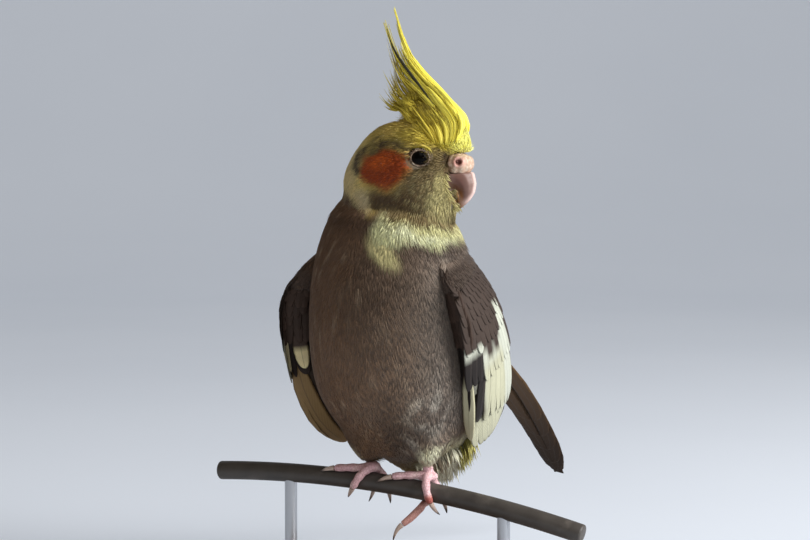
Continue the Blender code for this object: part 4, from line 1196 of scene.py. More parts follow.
# %% Rows of wing feathers
# Each row: name, count, first and last root, first and last tip, half width in
# millimetres, and how far root and tip stand off the sheet.
WING_ROWS = (
    ("primary", 10, (0.32, 0.06), (0.42, 0.44), (0.72, 0.03), (0.985, 0.5), 3.6, -2.2, -1.5),
    ("secondary", 13, (0.34, 0.20), (0.34, 0.92), (0.60, 0.05), (0.80, 0.82), 4.0, -1.6, -0.7),
    ("tertial", 4, (0.26, 0.74), (0.22, 0.95), (0.78, 0.86), (0.68, 0.97), 4.0, -1.0, 0.0),
    ("greater", 18, (0.24, 0.02), (0.22, 0.94), (0.46, -0.03), (0.54, 0.90), 3.4, -1.0, 0.0),
    ("median", 18, (0.20, 0.00), (0.18, 0.94), (0.375, -0.02), (0.39, 0.92), 3.0, -0.8, 0.35),
    ("lesser_6", 17, (0.16, 0.00), (0.15, 0.95), (0.32, -0.03), (0.33, 0.94), 2.7, -0.6, 0.5),
    ("lesser_5", 17, (0.13, 0.02), (0.12, 0.95), (0.275, -0.02), (0.285, 0.94), 2.5, -0.5, 0.6),
    ("lesser_4", 16, (0.10, 0.00), (0.09, 0.95), (0.235, -0.03), (0.24, 0.94), 2.4, -0.5, 0.65),
    ("lesser_3", 16, (0.075, 0.02), (0.06, 0.95), (0.195, -0.01), (0.20, 0.94), 2.2, -0.5, 0.7),
    ("lesser_2", 14, (0.045, 0.00), (0.03, 0.95), (0.155, -0.02), (0.16, 0.94), 2.1, -0.5, 0.7),
    ("lesser_1", 13, (0.015, 0.06), (0.0, 0.90), (0.115, 0.02), (0.115, 0.92), 2.0, -0.5, 0.7),
)
VANE_ROOF = 0.16


def front_sheet(side):
    """The rounded front of the wing, between its lower edge and the body beside it."""
    along = np.linspace(0, 1, 25)
    edge = wing_place(side, along, 0 * along)
    body = []
    for place in to_world(edge):
        near, normal, _, _ = skin_tree.find_nearest(Vector(place))
        body.append(to_bird(near))
    body = np.array(body)
    for _ in range(4):
        body[1:-1] = (body[:-2] + 2 * body[1:-1] + body[2:]) / 4

    def place_of(along, inward):
        share = np.asarray(inward, float)[:, None]
        first, last = spline(edge, along), spline(body, along)
        rounded = np.sin(math.pi * np.clip(share, 0, 1)) * (0.0, -1.6, 0.0)
        return first * (1 - share) + last * share + rounded

    return place_of


def sheet_outward(place_of, along, across, towards):
    """Unit directions square to a sheet, on the side a direction points to."""
    step = 0.01
    ahead = place_of(along + step, across) - place_of(along - step, across)
    over = place_of(along, across + step) - place_of(along, across - step)
    normal = unit(np.cross(ahead, over))
    return normal * np.where(normal @ np.asarray(towards, float) > 0, 1, -1)[:, None]


def front_vane(plume, place_of, root, tip, half_width, lifts, colour_of, dice):
    """A feather on the front of the wing; colour_of gives a colour from root to tip."""
    t = VANE_T
    line = np.array(root) + (np.array(tip) - root) * t[:, None]
    out = sheet_outward(place_of, line[:, 0], line[:, 1], (0, -1, 0))
    lift = lifts[0] + (lifts[1] - lifts[0]) * t
    middles = place_of(line[:, 0], line[:, 1]) + out * lift[:, None]
    over = unit(np.cross(out, unit(np.gradient(middles, axis=0))))
    rings = vane_points(middles, over, out, half_width * vane_profile(t))
    edge_light = 1 + 0.35 * smooth_step(0.6, 1.0, np.maximum(np.abs(COLUMNS)[None, :], t[:, None] ** 2))
    colours = colour_of(t)[:, None, :] * dice.normal(1.0, 0.08) * edge_light[..., None]
    plume.add(rings, colours, (0.1 + 0.5 * root[0], 0.95))


def wing_vane(plume, side, root, tip, half_width, lifts, dice):
    t = VANE_T
    line = root + (tip - root) * t[:, None]
    along, across = line.T
    out = wing_outward(side, along, across)
    lift = lifts[0] + (lifts[1] - lifts[0]) * t
    middles = wing_place(side, along, across) + out * lift[:, None]
    ahead = unit(np.gradient(middles, axis=0))
    over = unit(np.cross(out, ahead))
    over = over * np.where(over[:, 2:3] > 0, 1, -1)
    over = unit(over - out * VANE_ROOF / half_width)
    out = unit(out - over * np.sum(out * over, axis=1, keepdims=True))
    halves = half_width * vane_profile(t)
    rings = vane_points(middles, over, out, halves)
    sheet_width = np.linalg.norm(wing_place(side, along, across + 0.05) - wing_place(side, along, across - 0.05), axis=1)
    shift = COLUMNS[None, :] * (halves / (sheet_width / 0.1))[:, None]
    u = along[:, None] + 0 * shift
    v = across[:, None] + shift
    middle_u, middle_v = line[len(t) // 2 + 1]
    share = 0.35
    u, v = u + (middle_u - u) * share * 0.4, v + (middle_v - v) * share
    colours = wing_colour(side, u.ravel(), v.ravel()) * dice.normal(1.0, 0.05)
    colours = colours.reshape(*u.shape, 3)
    fringe = 1 + 0.08 * smooth_step(0.72, 1.0, np.abs(COLUMNS))[None, :, None]
    tip_glow = 1 + 0.14 * smooth_step(0.9, 1.0, t)[:, None, None]
    colours = np.clip(colours * np.maximum(fringe, tip_glow), 0, 0.9)
    is_low = np.arange(len(COLUMNS)) >= len(TOP_COLUMNS)
    colours = colours * np.where(is_low, 0.85, 1.0)[None, :, None]
    home = (0.1 + 0.8 * along.mean(), 0.1 + 0.8 * np.clip(across.mean(), 0, 1))
    plume.add(rings, colours, home)


def wing_core(side):
    """The wing's arm under the coverts, a closed crescent that thins to the rear."""
    along = np.linspace(0.0, 0.5, 12)
    across = np.linspace(0.0, 1.0, 9)
    rings = []
    for k, place in enumerate(along):
        here = np.full(9, place)
        out = wing_outward(side, here, across)
        face = wing_place(side, here, across) - out * 0.9
        depth = (1.0 + 4.0 * np.sin(math.pi * across)) * (1 - 0.6 * k / 11)
        inner = (face - out * depth[:, None])[::-1]
        rings.append(np.concatenate([face, inner]))
    return np.array(rings)


def steady(red, green, blue):
    return lambda t: np.tile(srgb(red, green, blue), (len(t), 1))


def tipped(base, tip_colour, start):
    return lambda t: blended(np.tile(srgb(*base), (len(t), 1)), srgb(*tip_colour), smooth_step(start, start + 0.06, t))


SHOULDER_BROWN = srgb(72, 58, 49)
plain_brown = steady(60, 46, 38)
# The long feathers of the wing's front: name, root, tip, half width, stand-off, colour.
FRONT_LONG = {
    "left": (
        ("inner_cream", (0.36, 0.35), (0.66, 0.25), 2.4, (-0.6, -0.2), tipped((52, 42, 36), (176, 171, 142), 0.3)),
        ("inner_dark", (0.30, 0.6), (0.56, 0.5), 2.4, (-0.8, -0.4), steady(34, 28, 26)),
    ),
    "right": (
        ("ochre_inner", (0.34, 0.75), (0.70, 0.62), 3.8, (-1.2, -0.8), steady(62, 48, 36)),
        ("ochre", (0.34, 0.34), (0.73, 0.26), 4.7, (-0.9, -0.5), steady(138, 112, 74)),
        ("outer_dark", (0.30, 0.22), (0.455, 0.21), 1.5, (-0.4, 0.1), steady(36, 28, 24)),
        ("outer_pale", (0.29, 0.05), (0.437, 0.05), 1.4, (-0.3, 0.1), steady(176, 164, 128)),
        ("crescent", (0.28, 0.58), (0.452, 0.60), 3.4, (-0.5, 0.05), steady(44, 34, 29)),
        ("cream_tip", (0.27, 0.58), (0.432, 0.60), 3.0, (-0.4, 0.3), tipped((66, 52, 44), (220, 204, 156), 0.62)),
    ),
}

for side in ("left", "right"):
    dice = np.random.default_rng(71 if side == "left" else 72)
    plume = Plume()
    for name, count, root_a, root_b, tip_a, tip_b, half_width, root_lift, tip_lift in WING_ROWS:
        for share in np.linspace(0, 1, count):
            root = np.array(root_a) * (1 - share) + np.array(root_b) * share
            tip = np.array(tip_a) * (1 - share) + np.array(tip_b) * share
            tip = tip + (dice.normal(0, 0.005), dice.normal(0, 0.006))
            width = half_width * dice.normal(1, 0.04)
            wing_vane(plume, side, root, tip, width, (root_lift, tip_lift), dice)
    place_of = front_sheet(side)
    for name, root, tip, half_width, lifts, colour_of in FRONT_LONG[side]:
        front_vane(plume, place_of, root, tip, half_width, lifts, colour_of, dice)
    for end in (0.35, 0.305, 0.26, 0.215, 0.17, 0.125, 0.08):
        for inward in (0.05, 0.3, 0.55, 0.8):
            tip = (end + dice.normal(0, 0.006), inward + dice.normal(0, 0.03))
            start = (max(end - 0.13, 0.012), inward)
            front_vane(plume, place_of, start, tip, 1.9, (-0.3, 0.45), plain_brown, dice)
    feathers = plume.piece("feathers_wing_" + side, feather_finish)
    outer_sheet = lambda along, across: wing_place(side, along, across)
    soft = []
    outside = (1 if side == "left" else -1, 0, 0)
    for sheet, towards, count, reach in (
        (outer_sheet, outside, 2600, 0.13), (place_of, (0, -1, 0), 900, 0.12)
    ):
        along, across = dice.uniform(-0.01, reach, count), dice.uniform(0.0, 1.0, count)
        places = sheet(np.maximum(along, 0), across)
        out = sheet_outward(sheet, np.maximum(along, 0.011), np.clip(across, 0.011, 0.989), towards)
        lie = unit(sheet(np.maximum(along, 0) + 0.02, across) - places)
        length = dice.normal(5.5, 0.7, count) * (1 - 0.45 * along / reach)
        width, lift = np.full(count, 0.7), dice.uniform(0.08, 0.16, count)
        tint = blended(body_colour(places), SHOULDER_BROWN, 0.85 * smooth_step(-0.01, 0.05, along))
        soft.append(blades(places + out * 0.4, out, lie, length, width, lift, tint, dice))
    joined, offset = [[], [], [], [], []], 0
    for block in soft:
        for index, part in enumerate(block):
            joined[index].append(part + (offset if index in (1, 2) else 0))
        offset += len(block[0])
    points, quads, ends, shades, spots = [np.concatenate(part) for part in joined]
    shoulder = mesh_piece("coat_shoulder_" + side, points, (quads, ends), coat_finish, shades, {"OFBake": spots})
    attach(shoulder, "root")
    core = wing_core(side)
    core_colours = wing_colour(side, np.repeat(np.linspace(0, 0.5, 12), 18), np.tile(0.5, 216)) * 0.8
    ends = np.arange(18)
    caps = np.stack([ends[::-1], ends + 11 * 18])
    arm = mesh_piece(
        "arm_" + side, core.reshape(-1, 3), (ring_faces(12, 18), caps), skin_finish, core_colours
    )
    for piece in (feathers, arm):
        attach(piece, "root")
    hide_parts("wing_" + side)
    print("wing", side, "feathers:", len(plume.points))

# %% [markdown]
# ## The tail
# Twelve long feathers hang one under another, the middle pair longest and uppermost.

# %% Tail feathers
TAIL_PATH = ((0, 40, 55), (1, 60, 49.5), (2.5, 82, 39.5), (4.5, 104, 26), (6, 124, 11), (7.5, 142, -6), (8.5, 157, -23))
TAIL_ENDS = (1.0, 0.97, 0.93, 0.87, 0.80, 0.72)
TAIL_ROOT = 0.02
TAIL_HALF_WIDTH = 3.7


def tail_frame(t):
    place = spline(TAIL_PATH, t)
    ahead = unit(spline(TAIL_PATH, t + 0.01) - spline(TAIL_PATH, t - 0.01))
    sideways = unit(np.cross(ahead, UP))
    return place, sideways, np.cross(sideways, ahead)


def tail_colour(pair, places, t):
    colour = np.tile(srgb(102, 76, 50), (len(places), 1))
    return blended(colour, srgb(44, 28, 14), smooth_step(0.35, 0.95, t))


plume = Plume()
dice = np.random.default_rng(81)
for pair, end in enumerate(TAIL_ENDS):
    for side in (1, -1):
        t = TAIL_ROOT + (end - TAIL_ROOT) * VANE_T
        place, sideways, upward = tail_frame(t)
        halves = TAIL_HALF_WIDTH * vane_profile(VANE_T, 0.5, 0.86, 2.4)
        inner = -2.4 if pair == 0 else -1.0 + 0.4 * (pair - 1)
        height = 1.5 - 0.6 * pair + (0.5 if pair == 0 and side > 0 else 0)
        middles = place + sideways * (side * (halves + inner))[:, None] + upward * height
        rings = vane_points(middles, sideways, upward, halves, 0.04, 0.16)
        flat_t = np.repeat(t, len(COLUMNS))
        colours = tail_colour(pair, rings.reshape(-1, 3), flat_t).reshape(*rings.shape)
        colours = colours * dice.normal(1.0, 0.025)
        plume.add(rings, colours, (0.1 + 0.06 * pair, 0.5 + 0.3 * side))
COVERT_ROWS = (
    # end of the feathers, how many, height over the middle feathers, colour
    (0.32, 6, 2.1, (98, 80, 66)),
    (0.26, 6, 2.8, (102, 86, 74)),
    (0.19, 5, 3.5, (106, 92, 82)),
    (0.30, 6, -3.2, (150, 142, 124)),
    (0.22, 5, -4.0, (166, 158, 138)),
)
for end, count, height, tint in COVERT_ROWS:
    for across in np.linspace(-4.6, 4.6, count):
        t = end * dice.normal(1.0, 0.04) * VANE_T
        place, sideways, upward = tail_frame(t)
        halves = 2.5 * vane_profile(VANE_T, 0.5, 0.5, 2.1)
        middles = place + sideways * across + upward * (height * (1 - 0.02 * across**2))
        facing = np.sign(height) * upward
        rings = vane_points(middles, np.sign(height) * sideways, facing, halves, 0.14, 0.14)
        colours = np.tile(srgb(*tint) * dice.normal(1.0, 0.04), (*rings.shape[:2], 1))
        plume.add(rings, colours, (0.5 + 0.05 * across, 0.9 if height > 0 else 0.1))
tail = plume.piece("feathers_tail", feather_finish)
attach(tail, "root")
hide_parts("tail")
print("tail feathers:", len(plume.points))

# %% [markdown]
# ## The crest
# Long narrow feathers rise from the forehead and crown and sweep back to a point. They
# are thin enough to show edge on, so each is turned partly towards the side.

# %% Crest feathers
CREST_STEMS = (
    ((24.5, 10.0), (26.5, 18.8), (19.7, 28.3)),
    ((15.5, 11.0), (8.4, 15.8), (2.5, 22.5)),
)
CREST_SHEAF = ((-1.0, 61.4), (-1.6, 60.4), (-4.9, 55.8), (-2.6, 47.5), (-2.4, 40.5), (-3.2, 34.0), (-5.2, 26.5))
CREST_SAG = 0.10
CREST_CLOSING = 0.72
CREST_FEATHERS = 1150
CREST_T = np.array((0.0, 0.14, 0.32, 0.5, 0.66, 0.8, 0.91, 0.98, 1.0))
CREST_COLUMNS = np.array((-1.0, -0.5, 0.0, 0.5, 1.0, 0.4, -0.4))


def crest_line(share, shift=(0, 0)):
    """The line of a feather at a share from the front of the sheaf to its rear."""
    stem = np.array(CREST_STEMS[0]) * (1 - share) + np.array(CREST_STEMS[1]) * share
    tip = spline(CREST_SHEAF, share)[0] + shift
    reach = tip - stem[2]
    sag = np.array((-reach[1], reach[0])) * CREST_SAG
    return np.vstack([stem, stem[2] + reach / 2 + sag, tip])


def crest_vane(plume, line, spread, start, end, half_width, tilt, colour_of):
    """A feather along a line of places, forward and up, from a start share to an end share."""
    t = start + (end - start) * CREST_T
    place = spline(line, t)
    side = spread * (1 - CREST_CLOSING * t)
    middles = head_place(place[:, 0], side, place[:, 1])
    ahead = unit(np.gradient(middles, axis=0))
    flat = HEAD_RIGHT * math.cos(tilt) + np.cross(ahead, HEAD_RIGHT) * math.sin(tilt)
    sideways = unit(np.cross(ahead, flat))
    outward = unit(np.cross(sideways, ahead))
    halves = half_width * vane_profile(CREST_T, 0.12, 0.30, 1.35)
    rings = vane_points(middles, sideways, outward, halves, 0.12, 0.16, 0.08, CREST_COLUMNS)
    colours = colour_of(place, t)[:, None, :] * np.ones((1, len(CREST_COLUMNS), 1))
    home = (0.5 + spread / 30, 0.2 + 0.6 * np.clip((25 - place[0, 0]) / 22, 0, 1))
    plume.add(rings, colours, home, CREST_COLUMNS)


def crest_colour(share, tone):
    def colour_of(place, t):
        bright = np.tile(srgb(244, 230, 92) * tone, (len(t), 1))
        olive = srgb(204, 184, 66) * tone
        mixed = blended(bright, olive, np.full(len(t), smooth_step(0.12, 0.7, share)))
        return blended(mixed, srgb(216, 208, 150) * tone, smooth_step(0.75, 0.95, t) * share)
    return colour_of


def shaft_colour(place, t):
    return np.tile(srgb(44, 42, 28), (len(t), 1))


plume = Plume()
dice = np.random.default_rng(91)
for share, end, count in ((0.0, 1.0, 9), (0.05, 0.965, 11), (0.10, 0.92, 12), (0.33, 1.0, 8), (0.30, 0.95, 10)):
    for strand in range(count):
        spread = (strand - (count - 1) / 2) * 4.4 / count
        reach = end - 0.05 * abs(strand / (count - 1) - 0.5)
        colour_of = crest_colour(share, dice.normal(1, 0.05))
        line = crest_line(share + dice.normal(0, 0.016), dice.normal(0, 0.16, 2))
        start = dice.uniform(0.08, 0.42)
        crest_vane(plume, line, spread, start, reach, dice.uniform(0.3, 0.48), dice.uniform(-0.7, 0.7), colour_of)
for _ in range(CREST_FEATHERS):
    share = dice.uniform(0, 1) if dice.random() < 0.75 else dice.uniform(0.3, 0.7)
    longest = 0.84 - 0.30 * smooth_step(0.25, 0.5, share) + 0.36 * smooth_step(0.6, 1.0, share)
    end = dice.uniform(0.3, 1.0) ** 0.7 * longest
    spread = dice.normal(0, 1.0) * (4.4 - 2.8 * end)
    start = max(0.0, end - dice.uniform(0.3, 0.6))
    low_down = smooth_step(0.6, 0.42, end)
    tilt = dice.uniform(-0.7, 0.7) * (1 - 0.5 * low_down)
    half_width = dice.uniform(0.3, 0.52) * (1 - 0.4 * smooth_step(0.5, 0.9, share)) * (1 + 0.9 * low_down)
    colour_of = crest_colour(share, dice.normal(1.0, 0.06))
    line = crest_line(share, dice.normal(0, 0.5, 2))
    crest_vane(plume, line, spread, start, end, half_width, tilt, colour_of)
for _ in range(110):
    share = dice.uniform(0.36, 1.0)
    wisp = dice.uniform(0.8, 1.0)
    colour_of = crest_colour(0.9, dice.uniform(0.85, 1.15))
    line = crest_line(share, dice.normal(0, 1.2, 2))
    crest_vane(plume, line, dice.normal(0, 1.8), wisp - 0.4, wisp, 0.2, 0.0, colour_of)
for _ in range(420):
    # short broad feathers lie over the sheaf's root on both faces
    share, start = dice.uniform(0.0, 0.9), dice.uniform(0.02, 0.36)
    spread = dice.choice((-1, 1)) * dice.uniform(4.4, 6.6) * (1 - 0.35 * share)
    colour_of = crest_colour(share, dice.normal(1.0, 0.05))
    line = crest_line(share, dice.normal(0, 0.5, 2))
    half_width, tilt = dice.uniform(0.6, 1.0), dice.uniform(-0.25, 0.25)
    crest_vane(plume, line, spread, start, start + dice.uniform(0.16, 0.26), half_width, tilt, colour_of)
DARK_SHAFT = ((15.9, 25.2), (13.2, 28.7), (7.5, 35.6), (2.4, 41.8), (-0.8, 47.0), (-2.9, 51.9))
crest_vane(plume, DARK_SHAFT, 5.4, 0.0, 1.0, 0.66, 0.1, shaft_colour)
crest_finish = Finish("crest_feathers", Roughness=0.55, Specular_IOR_Level=0.3)
crest_along, crest_across, _ = crest_finish.parts(crest_finish.layout("vane"))
crest_barb = ((crest_along * 22.0 + (crest_across - 0.5).size() * 6.0) * (2 * math.pi)).sine()
crest_finish.feed(
    Base_Color=crest_finish.mix((crest_barb * 0.02 + 0.02).clipped(), crest_finish.paint(), rgba(120, 104, 30))
)
crest_finish.bump(crest_barb, 0.25, 0.0001)
crest = plume.piece("feathers_crest", crest_finish)
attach(crest, "root")
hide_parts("crest")
print("crest feathers:", len(plume.points))

# %% [markdown]
# ## Eyes and their lids
# Each eye is a dark glossy ball set in a ring of bare granular skin.

# %% Eyes
EYE_RADIUS = 4.4
LID_RADIUS = 3.3
LID_THICKNESS = 0.44
LID_SQUASH = 0.88


def ball(centre, radius, axis, rows=24, columns=36, axes=(1.0, 1.0, 1.0)):
    """Points, quads and caps of a ball whose rings stand round an axis."""
    axis = unit(np.asarray(axis, float))
    first = unit(np.cross(axis, UP if abs(axis[2]) < 0.9 else np.array((1.0, 0, 0))))
    second = np.cross(axis, first)
    polar = np.linspace(0.02, math.pi - 0.02, rows)[:, None, None]
    turn = np.linspace(0, 2 * math.pi, columns, endpoint=False)[None, :, None]
    spread = np.sin(polar) * (np.cos(turn) * first * axes[0] + np.sin(turn) * second * axes[1])
    points = centre + radius * (spread + np.cos(polar) * axis * axes[2])
    ends = np.arange(columns)
    caps = np.stack([ends[::-1], ends + (rows - 1) * columns])
    return points.reshape(-1, 3), ring_faces(rows, columns)[:, ::-1], caps[:, ::-1]


eye_finish = Finish("dark_eye", Roughness=0.03, Specular_IOR_Level=0.05)
eye_finish.feed(Base_Color=eye_finish.paint())
eye_places = dict(zip(("eye_right", "eye_left"), eye_axes))
for name, (centre, facing) in eye_places.items():
    points, quads, caps = ball(centre, EYE_RADIUS, facing, 40, 48)
    off_axis = np.degrees(np.arccos(np.clip(unit(points - centre) @ facing, -1, 1)))
    colours = blended(np.tile(srgb(5, 4, 4), (len(points), 1)), srgb(16, 11, 9), smooth_step(24, 32, off_axis))
    colours = blended(colours, srgb(6, 5, 5), smooth_step(36, 40, off_axis))
    eye = mesh_piece("ball_" + name, points, (quads, caps), eye_finish, colours)
    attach(eye, "root")
    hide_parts(name)

# %% Eyelid rings
lid_finish = Finish("lid_skin", Roughness=0.6)
lid_grain = lid_finish.noise(lid_finish.place(), 1400.0)
lid_finish.feed(Base_Color=lid_finish.mix(lid_grain * 0.25, lid_finish.paint(), rgba(120, 102, 90)))
lid_finish.bump(lid_grain, 0.5, 0.0002)
LID_BEADS = 38
for name, (centre, facing) in eye_places.items():
    first = unit(np.cross(facing, UP))
    second = np.cross(first, facing)
    turns = np.linspace(0, 2 * math.pi, 72, endpoint=False)
    round_ = np.linspace(0, 2 * math.pi, 12, endpoint=False)
    rings = []
    for turn in turns:
        way = math.cos(turn) * first + math.sin(turn) * second * LID_SQUASH
        on_ring = way * LID_RADIUS
        rise = math.sqrt(EYE_RADIUS**2 - np.dot(on_ring, on_ring))
        swell = 1 + 0.10 * math.sin(turn * 17 + 1) + 0.08 * math.sin(turn * 29)
        body = LID_THICKNESS * swell * (np.cos(round_)[:, None] * unit(way) + 0.8 * np.sin(round_)[:, None] * facing)
        rings.append(centre + on_ring + facing * (rise + 0.05) + body)
    points = [np.concatenate(rings)]
    grid = np.arange(72 * 12).reshape(72, 12)
    quads = np.stack([grid, np.roll(grid, -1, 0), np.roll(np.roll(grid, -1, 0), -1, 1), np.roll(grid, -1, 1)], axis=-1)
    faces, ends, count = [quads.reshape(-1, 4)], [], 72 * 12
    bead_dice = np.random.default_rng(95)
    for bead in range(2 * LID_BEADS):
        turn = 2 * math.pi * (bead + bead_dice.uniform(-0.2, 0.2)) / LID_BEADS
        out = LID_RADIUS + (0.1 if bead < LID_BEADS else 0.65)
        way = math.cos(turn) * first + math.sin(turn) * second * LID_SQUASH
        rise = math.sqrt(max(EYE_RADIUS**2 - (out * LID_SQUASH) ** 2, 0.1)) + 0.3
        spot = centre + way * out + facing * (rise if bead < LID_BEADS else rise + 0.1)
        bead_points, bead_quads, bead_caps = ball(spot, bead_dice.uniform(0.16, 0.27), facing, 6, 8)
        points.append(bead_points)
        faces.append(bead_quads + count)
        ends.append(bead_caps + count)
        count += len(bead_points)
    points = np.concatenate(points)
    colours = np.tile(srgb(112, 90, 70), (len(points), 1)) * (1 + 0.4 * ripple(points, 0.8, 96))[:, None]
    on_bead = (np.arange(len(points)) >= 72 * 12) * smooth_step(0.0, 0.5, ripple(points, 1.1, 98))
    colours = blended(colours, srgb(178, 166, 148), on_bead)
    lid = mesh_piece("lid_" + name, points, (np.concatenate(faces), np.concatenate(ends)), lid_finish, np.clip(colours, 0, 1))
    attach(lid, "root")
print("eyes and lids are set")

# %% [markdown]
# ## Bill and cere
# The bill is horn: pinkish grey, darker to the tip, with fine growth lines. The cere
# above it is soft pink skin with a nostril. Both are smooth copies of their solids.

# %% Bill and cere
NOSTRIL = (25.9, 4.1)


def bill_colour(places):
    f, s, u = head_numbers(places)
    colour = np.tile(srgb(126, 98, 88), (len(places), 1))
    colour = blended(colour, srgb(92, 54, 42), patch(f, u, (25.5, -5.0), (2.6, 5.0), 0.6))
    colour = blended(colour, srgb(142, 92, 48), smooth_step(-5, -8.5, u) * smooth_step(27.5, 25.5, f))
    # pale horn along the ridge, brightened further as a painted highlight where it faces the window
    colour = blended(colour, srgb(222, 192, 182), smooth_step(2.4, 0.9, np.abs(s)) * smooth_step(-13, -9, u))
    return blended(colour, srgb(120, 84, 56), smooth_step(-10.5, -13, u) * 0.5)


def cere_colour(places):
    f, s, u = head_numbers(places)
    colour = np.tile(srgb(184, 156, 132), (len(places), 1))
    colour = blended(colour, srgb(214, 196, 174), smooth_step(-0.3, 0.9, ripple(places, 0.9, 99)))
    colour = blended(colour, srgb(150, 118, 92), smooth_step(23.5, 21.5, f + ripple(places, 1.2, 97)))
    nostril = np.abs(s) > 1
    colour = blended(colour, srgb(200, 148, 134), patch(f, u, NOSTRIL, (2.2, 1.9), 0.4) * nostril)
    # the nostril's dark red opening, painted darker as the shade inside its hole
    return blended(colour, srgb(86, 26, 22), patch(f, u, NOSTRIL, (1.15, 1.05), 0.35) * nostril)


def nostrils_sunk(piece):
    """Press a nostril into each side of the cere, and raise a rim round it."""
    points, normals, _ = triangles_of(piece)
    f, s, u = head_numbers(points)
    off = np.hypot(f - NOSTRIL[0], u - NOSTRIL[1])
    depth = 0.3 * np.exp(-((off - 1.7) / 0.6) ** 2) - 1.1 * smooth_step(1.4, 0.5, off)
    depth = depth * (np.abs(s) > 1) + 0.16 * ripple(points, 1.6, 94)
    piece.data.vertices.foreach_set("co", to_world(points + normals * depth[:, None]).ravel())
    piece.data.update()


horn_finish = Finish("bill_horn", Roughness=0.38, Specular_IOR_Level=0.34)
horn_grain = horn_finish.noise(horn_finish.stretched(horn_finish.place(), (1.0, 1.0, 5.0)), 260.0)
horn_finish.feed(Base_Color=horn_finish.mix(horn_grain * 0.3, horn_finish.paint(), rgba(134, 106, 96)))
horn_finish.feed(Roughness=horn_grain * 0.25 + 0.25)
horn_finish.bump(horn_grain, 0.3, 0.0002)
cere_finish = Finish("cere_skin", Roughness=0.48)
cere_grain = cere_finish.noise(cere_finish.place(), 1100.0)
cere_finish.feed(Base_Color=cere_finish.mix(cere_grain * 0.3, cere_finish.paint(), rgba(186, 140, 124)))
cere_finish.bump(cere_grain, 0.45, 0.0002)
for name, voxel, smoothing, swell, colour_of, finish, slot in (
    ("bill_upper", 0.3, 14, 0.12, bill_colour, horn_finish, "bill_horn"),
    ("bill_lower", 0.3, 8, 0.12, bill_colour, horn_finish, "bill_horn"),
    ("cere", 0.22, 6, 0.35, cere_colour, cere_finish, "cere_skin"),
):
    piece = remeshed("smooth_" + name, [solid_copy(name)], voxel, smoothing, swell)
    if name == "cere":
        nostrils_sunk(piece)
    tinted(piece, colour_of, finish)
    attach(piece, "root")
    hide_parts(name)
print("bill and cere are set")

# %% [markdown]
# ## Feet and claws
# The feet are pink, covered in small scales. The claws are horn, darker to the tip.

# %% Feet and claws


def foot_colour(places):
    colour = np.tile(srgb(226, 184, 188), (len(places), 1))
    colour = blended(colour, srgb(228, 194, 192), smooth_step(0.0, 1.0, ripple(places, 3.0, 97)))
    hanging = smooth_step(-7, -9, places[:, 2])
    colour = blended(colour, srgb(214, 160, 148), hanging)
    return blended(colour, srgb(160, 62, 50), hanging * smooth_step(-13, -10, places[:, 2]) * 0.8)


foot_finish = Finish("foot_scales", Roughness=0.5)
cells = foot_finish.node(
    "ShaderNodeTexVoronoi", {"feature": "DISTANCE_TO_EDGE"}, {"Vector": foot_finish.place(), "Scale": 900.0}, "Distance"
)
crease = (1.0 - cells * 9.0).clipped()
foot_finish.feed(Base_Color=foot_finish.mix(crease * 0.5, foot_finish.paint(), rgba(150, 82, 78)))
foot_finish.bump(1.0 - crease, 0.5, 0.0002)
claw_finish = Finish("claw_horn", Roughness=0.3)
claw_finish.feed(Base_Color=claw_finish.paint())
for side in ("left", "right"):
    foot = remeshed("scaly_foot_" + side, [solid_copy("foot_" + side)], 0.4, 8, 0.1)
    tinted(foot, foot_colour, foot_finish)
    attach(foot, "root")
    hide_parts("foot_" + side)
    middle = node_points("foot_" + side).mean(axis=0)
    for index in range(1, 5):
        name = f"claw_{side}_{index}"
        claw_points = node_points(name)
        tip = claw_points[np.argmax(np.linalg.norm(claw_points - middle, axis=1))]

        def claw_colour(places, tip=tip):
            to_tip = np.linalg.norm(places - tip, axis=1)
            colour = np.tile(srgb(196, 174, 160), (len(places), 1))
            return blended(colour, srgb(74, 62, 56), smooth_step(3.6, 0.8, to_tip))

        claw = remeshed("smooth_" + name, [solid_copy(name)], 0.16, 6, 0.05)
        tinted(claw, claw_colour, claw_finish)
        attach(claw, "root")
        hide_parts(name)
print("feet and claws are set")

# %% [markdown]
# ## The perch and its stand
# A short length of bent steel bar in worn dark paint, on two brushed rods in a turned
# wooden disc.

# %% Perch and stand
BAR_RADIUS = 3.6
BAR_DROP = 2.2
BAR_ARCH_RADIUS = 480.0
BAR_APEX_X = -46.0
BAR_HALF_LENGTH = 75.0
ROD_RADIUS = 2.4
ROD_X = 44.0
BASE_RADIUS = 58.0
BASE_THICKNESS = 8.0


def bar_height(x):
    def fall(at):
        return BAR_ARCH_RADIUS - np.sqrt(BAR_ARCH_RADIUS**2 - (at - BAR_APEX_X) ** 2)
    return fall(0.0) - fall(x) - BAR_RADIUS - BAR_DROP


def turned(path, radii, sides=48):
    """A closed round form along a path in the bird's x-z plane, or up a post."""
    path = np.asarray(path, float)
    ahead = unit(np.gradient(path, axis=0))
    level = np.array((0.0, 1.0, 0.0))
    other = np.cross(ahead, level)
    turn = np.linspace(0, 2 * math.pi, sides, endpoint=False)[None, :, None]
    rings = path[:, None] + np.asarray(radii)[:, None, None] * (
        np.cos(turn) * level + np.sin(turn) * other[:, None]
    )
    ends = np.arange(sides)
    caps = np.stack([ends[::-1], ends + (len(path) - 1) * sides])
    return rings.reshape(-1, 3), ring_faces(len(path), sides), caps


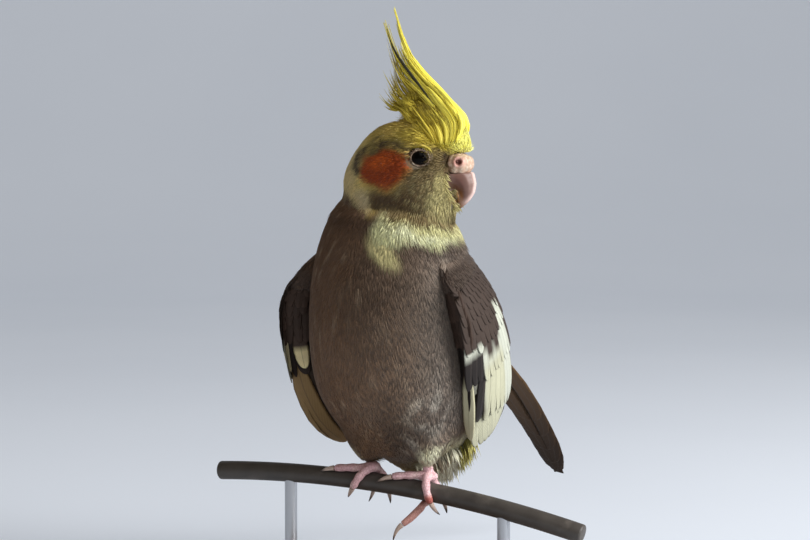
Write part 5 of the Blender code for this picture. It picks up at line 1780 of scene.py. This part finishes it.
paint_finish = Finish("bar_paint", Roughness=0.5, Metallic=0.0)
bar_spots = paint_finish.noise(paint_finish.place(), 160.0, 6.0)
bar_wear = ((paint_finish.noise(paint_finish.place(), 60.0, 8.0) - 0.60) * 9.0).clipped()
bar_body = paint_finish.mix(bar_spots, rgba(52, 48, 45), rgba(84, 78, 72))
paint_finish.feed(Base_Color=paint_finish.mix(bar_wear * 0.6, bar_body, rgba(120, 112, 104)))
paint_finish.feed(Roughness=bar_spots * 0.3 + 0.35)
paint_finish.bump(bar_spots, 0.4, 0.0003)
wood_finish = Finish("stand_wood", Roughness=0.45)
wood_vector = wood_finish.stretched(wood_finish.place(), (14.0, 1.6, 14.0))
rings_wave = wood_finish.noise(wood_vector, 9.0, 4.0)
wood_finish.feed(Base_Color=wood_finish.mix(rings_wave, rgba(70, 50, 36), rgba(126, 94, 66)))
wood_finish.bump(rings_wave, 0.15, 0.0003)
steel_finish = Finish("stand_steel", Metallic=1.0, Base_Color=rgba(186, 188, 192))
steel_lines = steel_finish.noise(steel_finish.stretched(steel_finish.place(), (1.0, 1.0, 0.03)), 2600.0)
steel_finish.feed(Roughness=steel_lines * 0.2 + 0.22)

edge = 0.9
inset = edge * np.array((0.0, 0.12, 0.45, 1.0))
sink = edge * np.array((1.0, 0.5, 0.12, 0.0))
bar_x = np.concatenate([inset - BAR_HALF_LENGTH, np.linspace(-70, 70, 61), BAR_HALF_LENGTH - inset[::-1]])
bar_radii = np.concatenate([BAR_RADIUS - sink, np.full(61, BAR_RADIUS), BAR_RADIUS - sink[::-1]])
bar_path = np.stack([bar_x, 0 * bar_x, bar_height(bar_x)], axis=1)
floor_height = BASE_THICKNESS - GRIP_HEIGHT
base_path = [(0, 0, floor_height - BASE_THICKNESS), (0, 0, floor_height - 1.2)]
base_path += [(0, 0, floor_height - 1.2 * share) for share in (0.6, 0.25, 0.07, 0.0)]
base_radii = [BASE_RADIUS, BASE_RADIUS] + [BASE_RADIUS - 1.2 * share for share in (0.08, 0.34, 0.63, 1.0)]
stand_parts = [
    ("painted_perch", "perch", turned(bar_path, bar_radii), paint_finish, "bar_paint"),
    ("wood_base", "stand_base", turned(base_path, base_radii, 128), wood_finish, "stand_wood"),
]
for side, x in (("left", ROD_X), ("right", -ROD_X)):
    post = [(x, 0, floor_height + 0.3), (x, 0, float(bar_height(x)) - BAR_RADIUS + 0.9)]
    stand_parts.append(
        ("steel_rod_" + side, "stand_rod_" + side, turned(post, [ROD_RADIUS] * 2), steel_finish, "stand_steel")
    )
for name, node, (points, quads, caps), finish, slot in stand_parts:
    piece = mesh_piece(name, points, (quads, caps), finish)
    crisp = piece.modifiers.new("crisp", "EDGE_SPLIT")
    crisp.split_angle = math.radians(50)
    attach(piece, "root")
    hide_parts(node)
print("perch and stand are set")

# %% Finish
visual_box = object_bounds()
for label, bounds in (("cad", cad_box), ("visual", visual_box)):
    [[float(v) for v in corner] for corner in bounds]
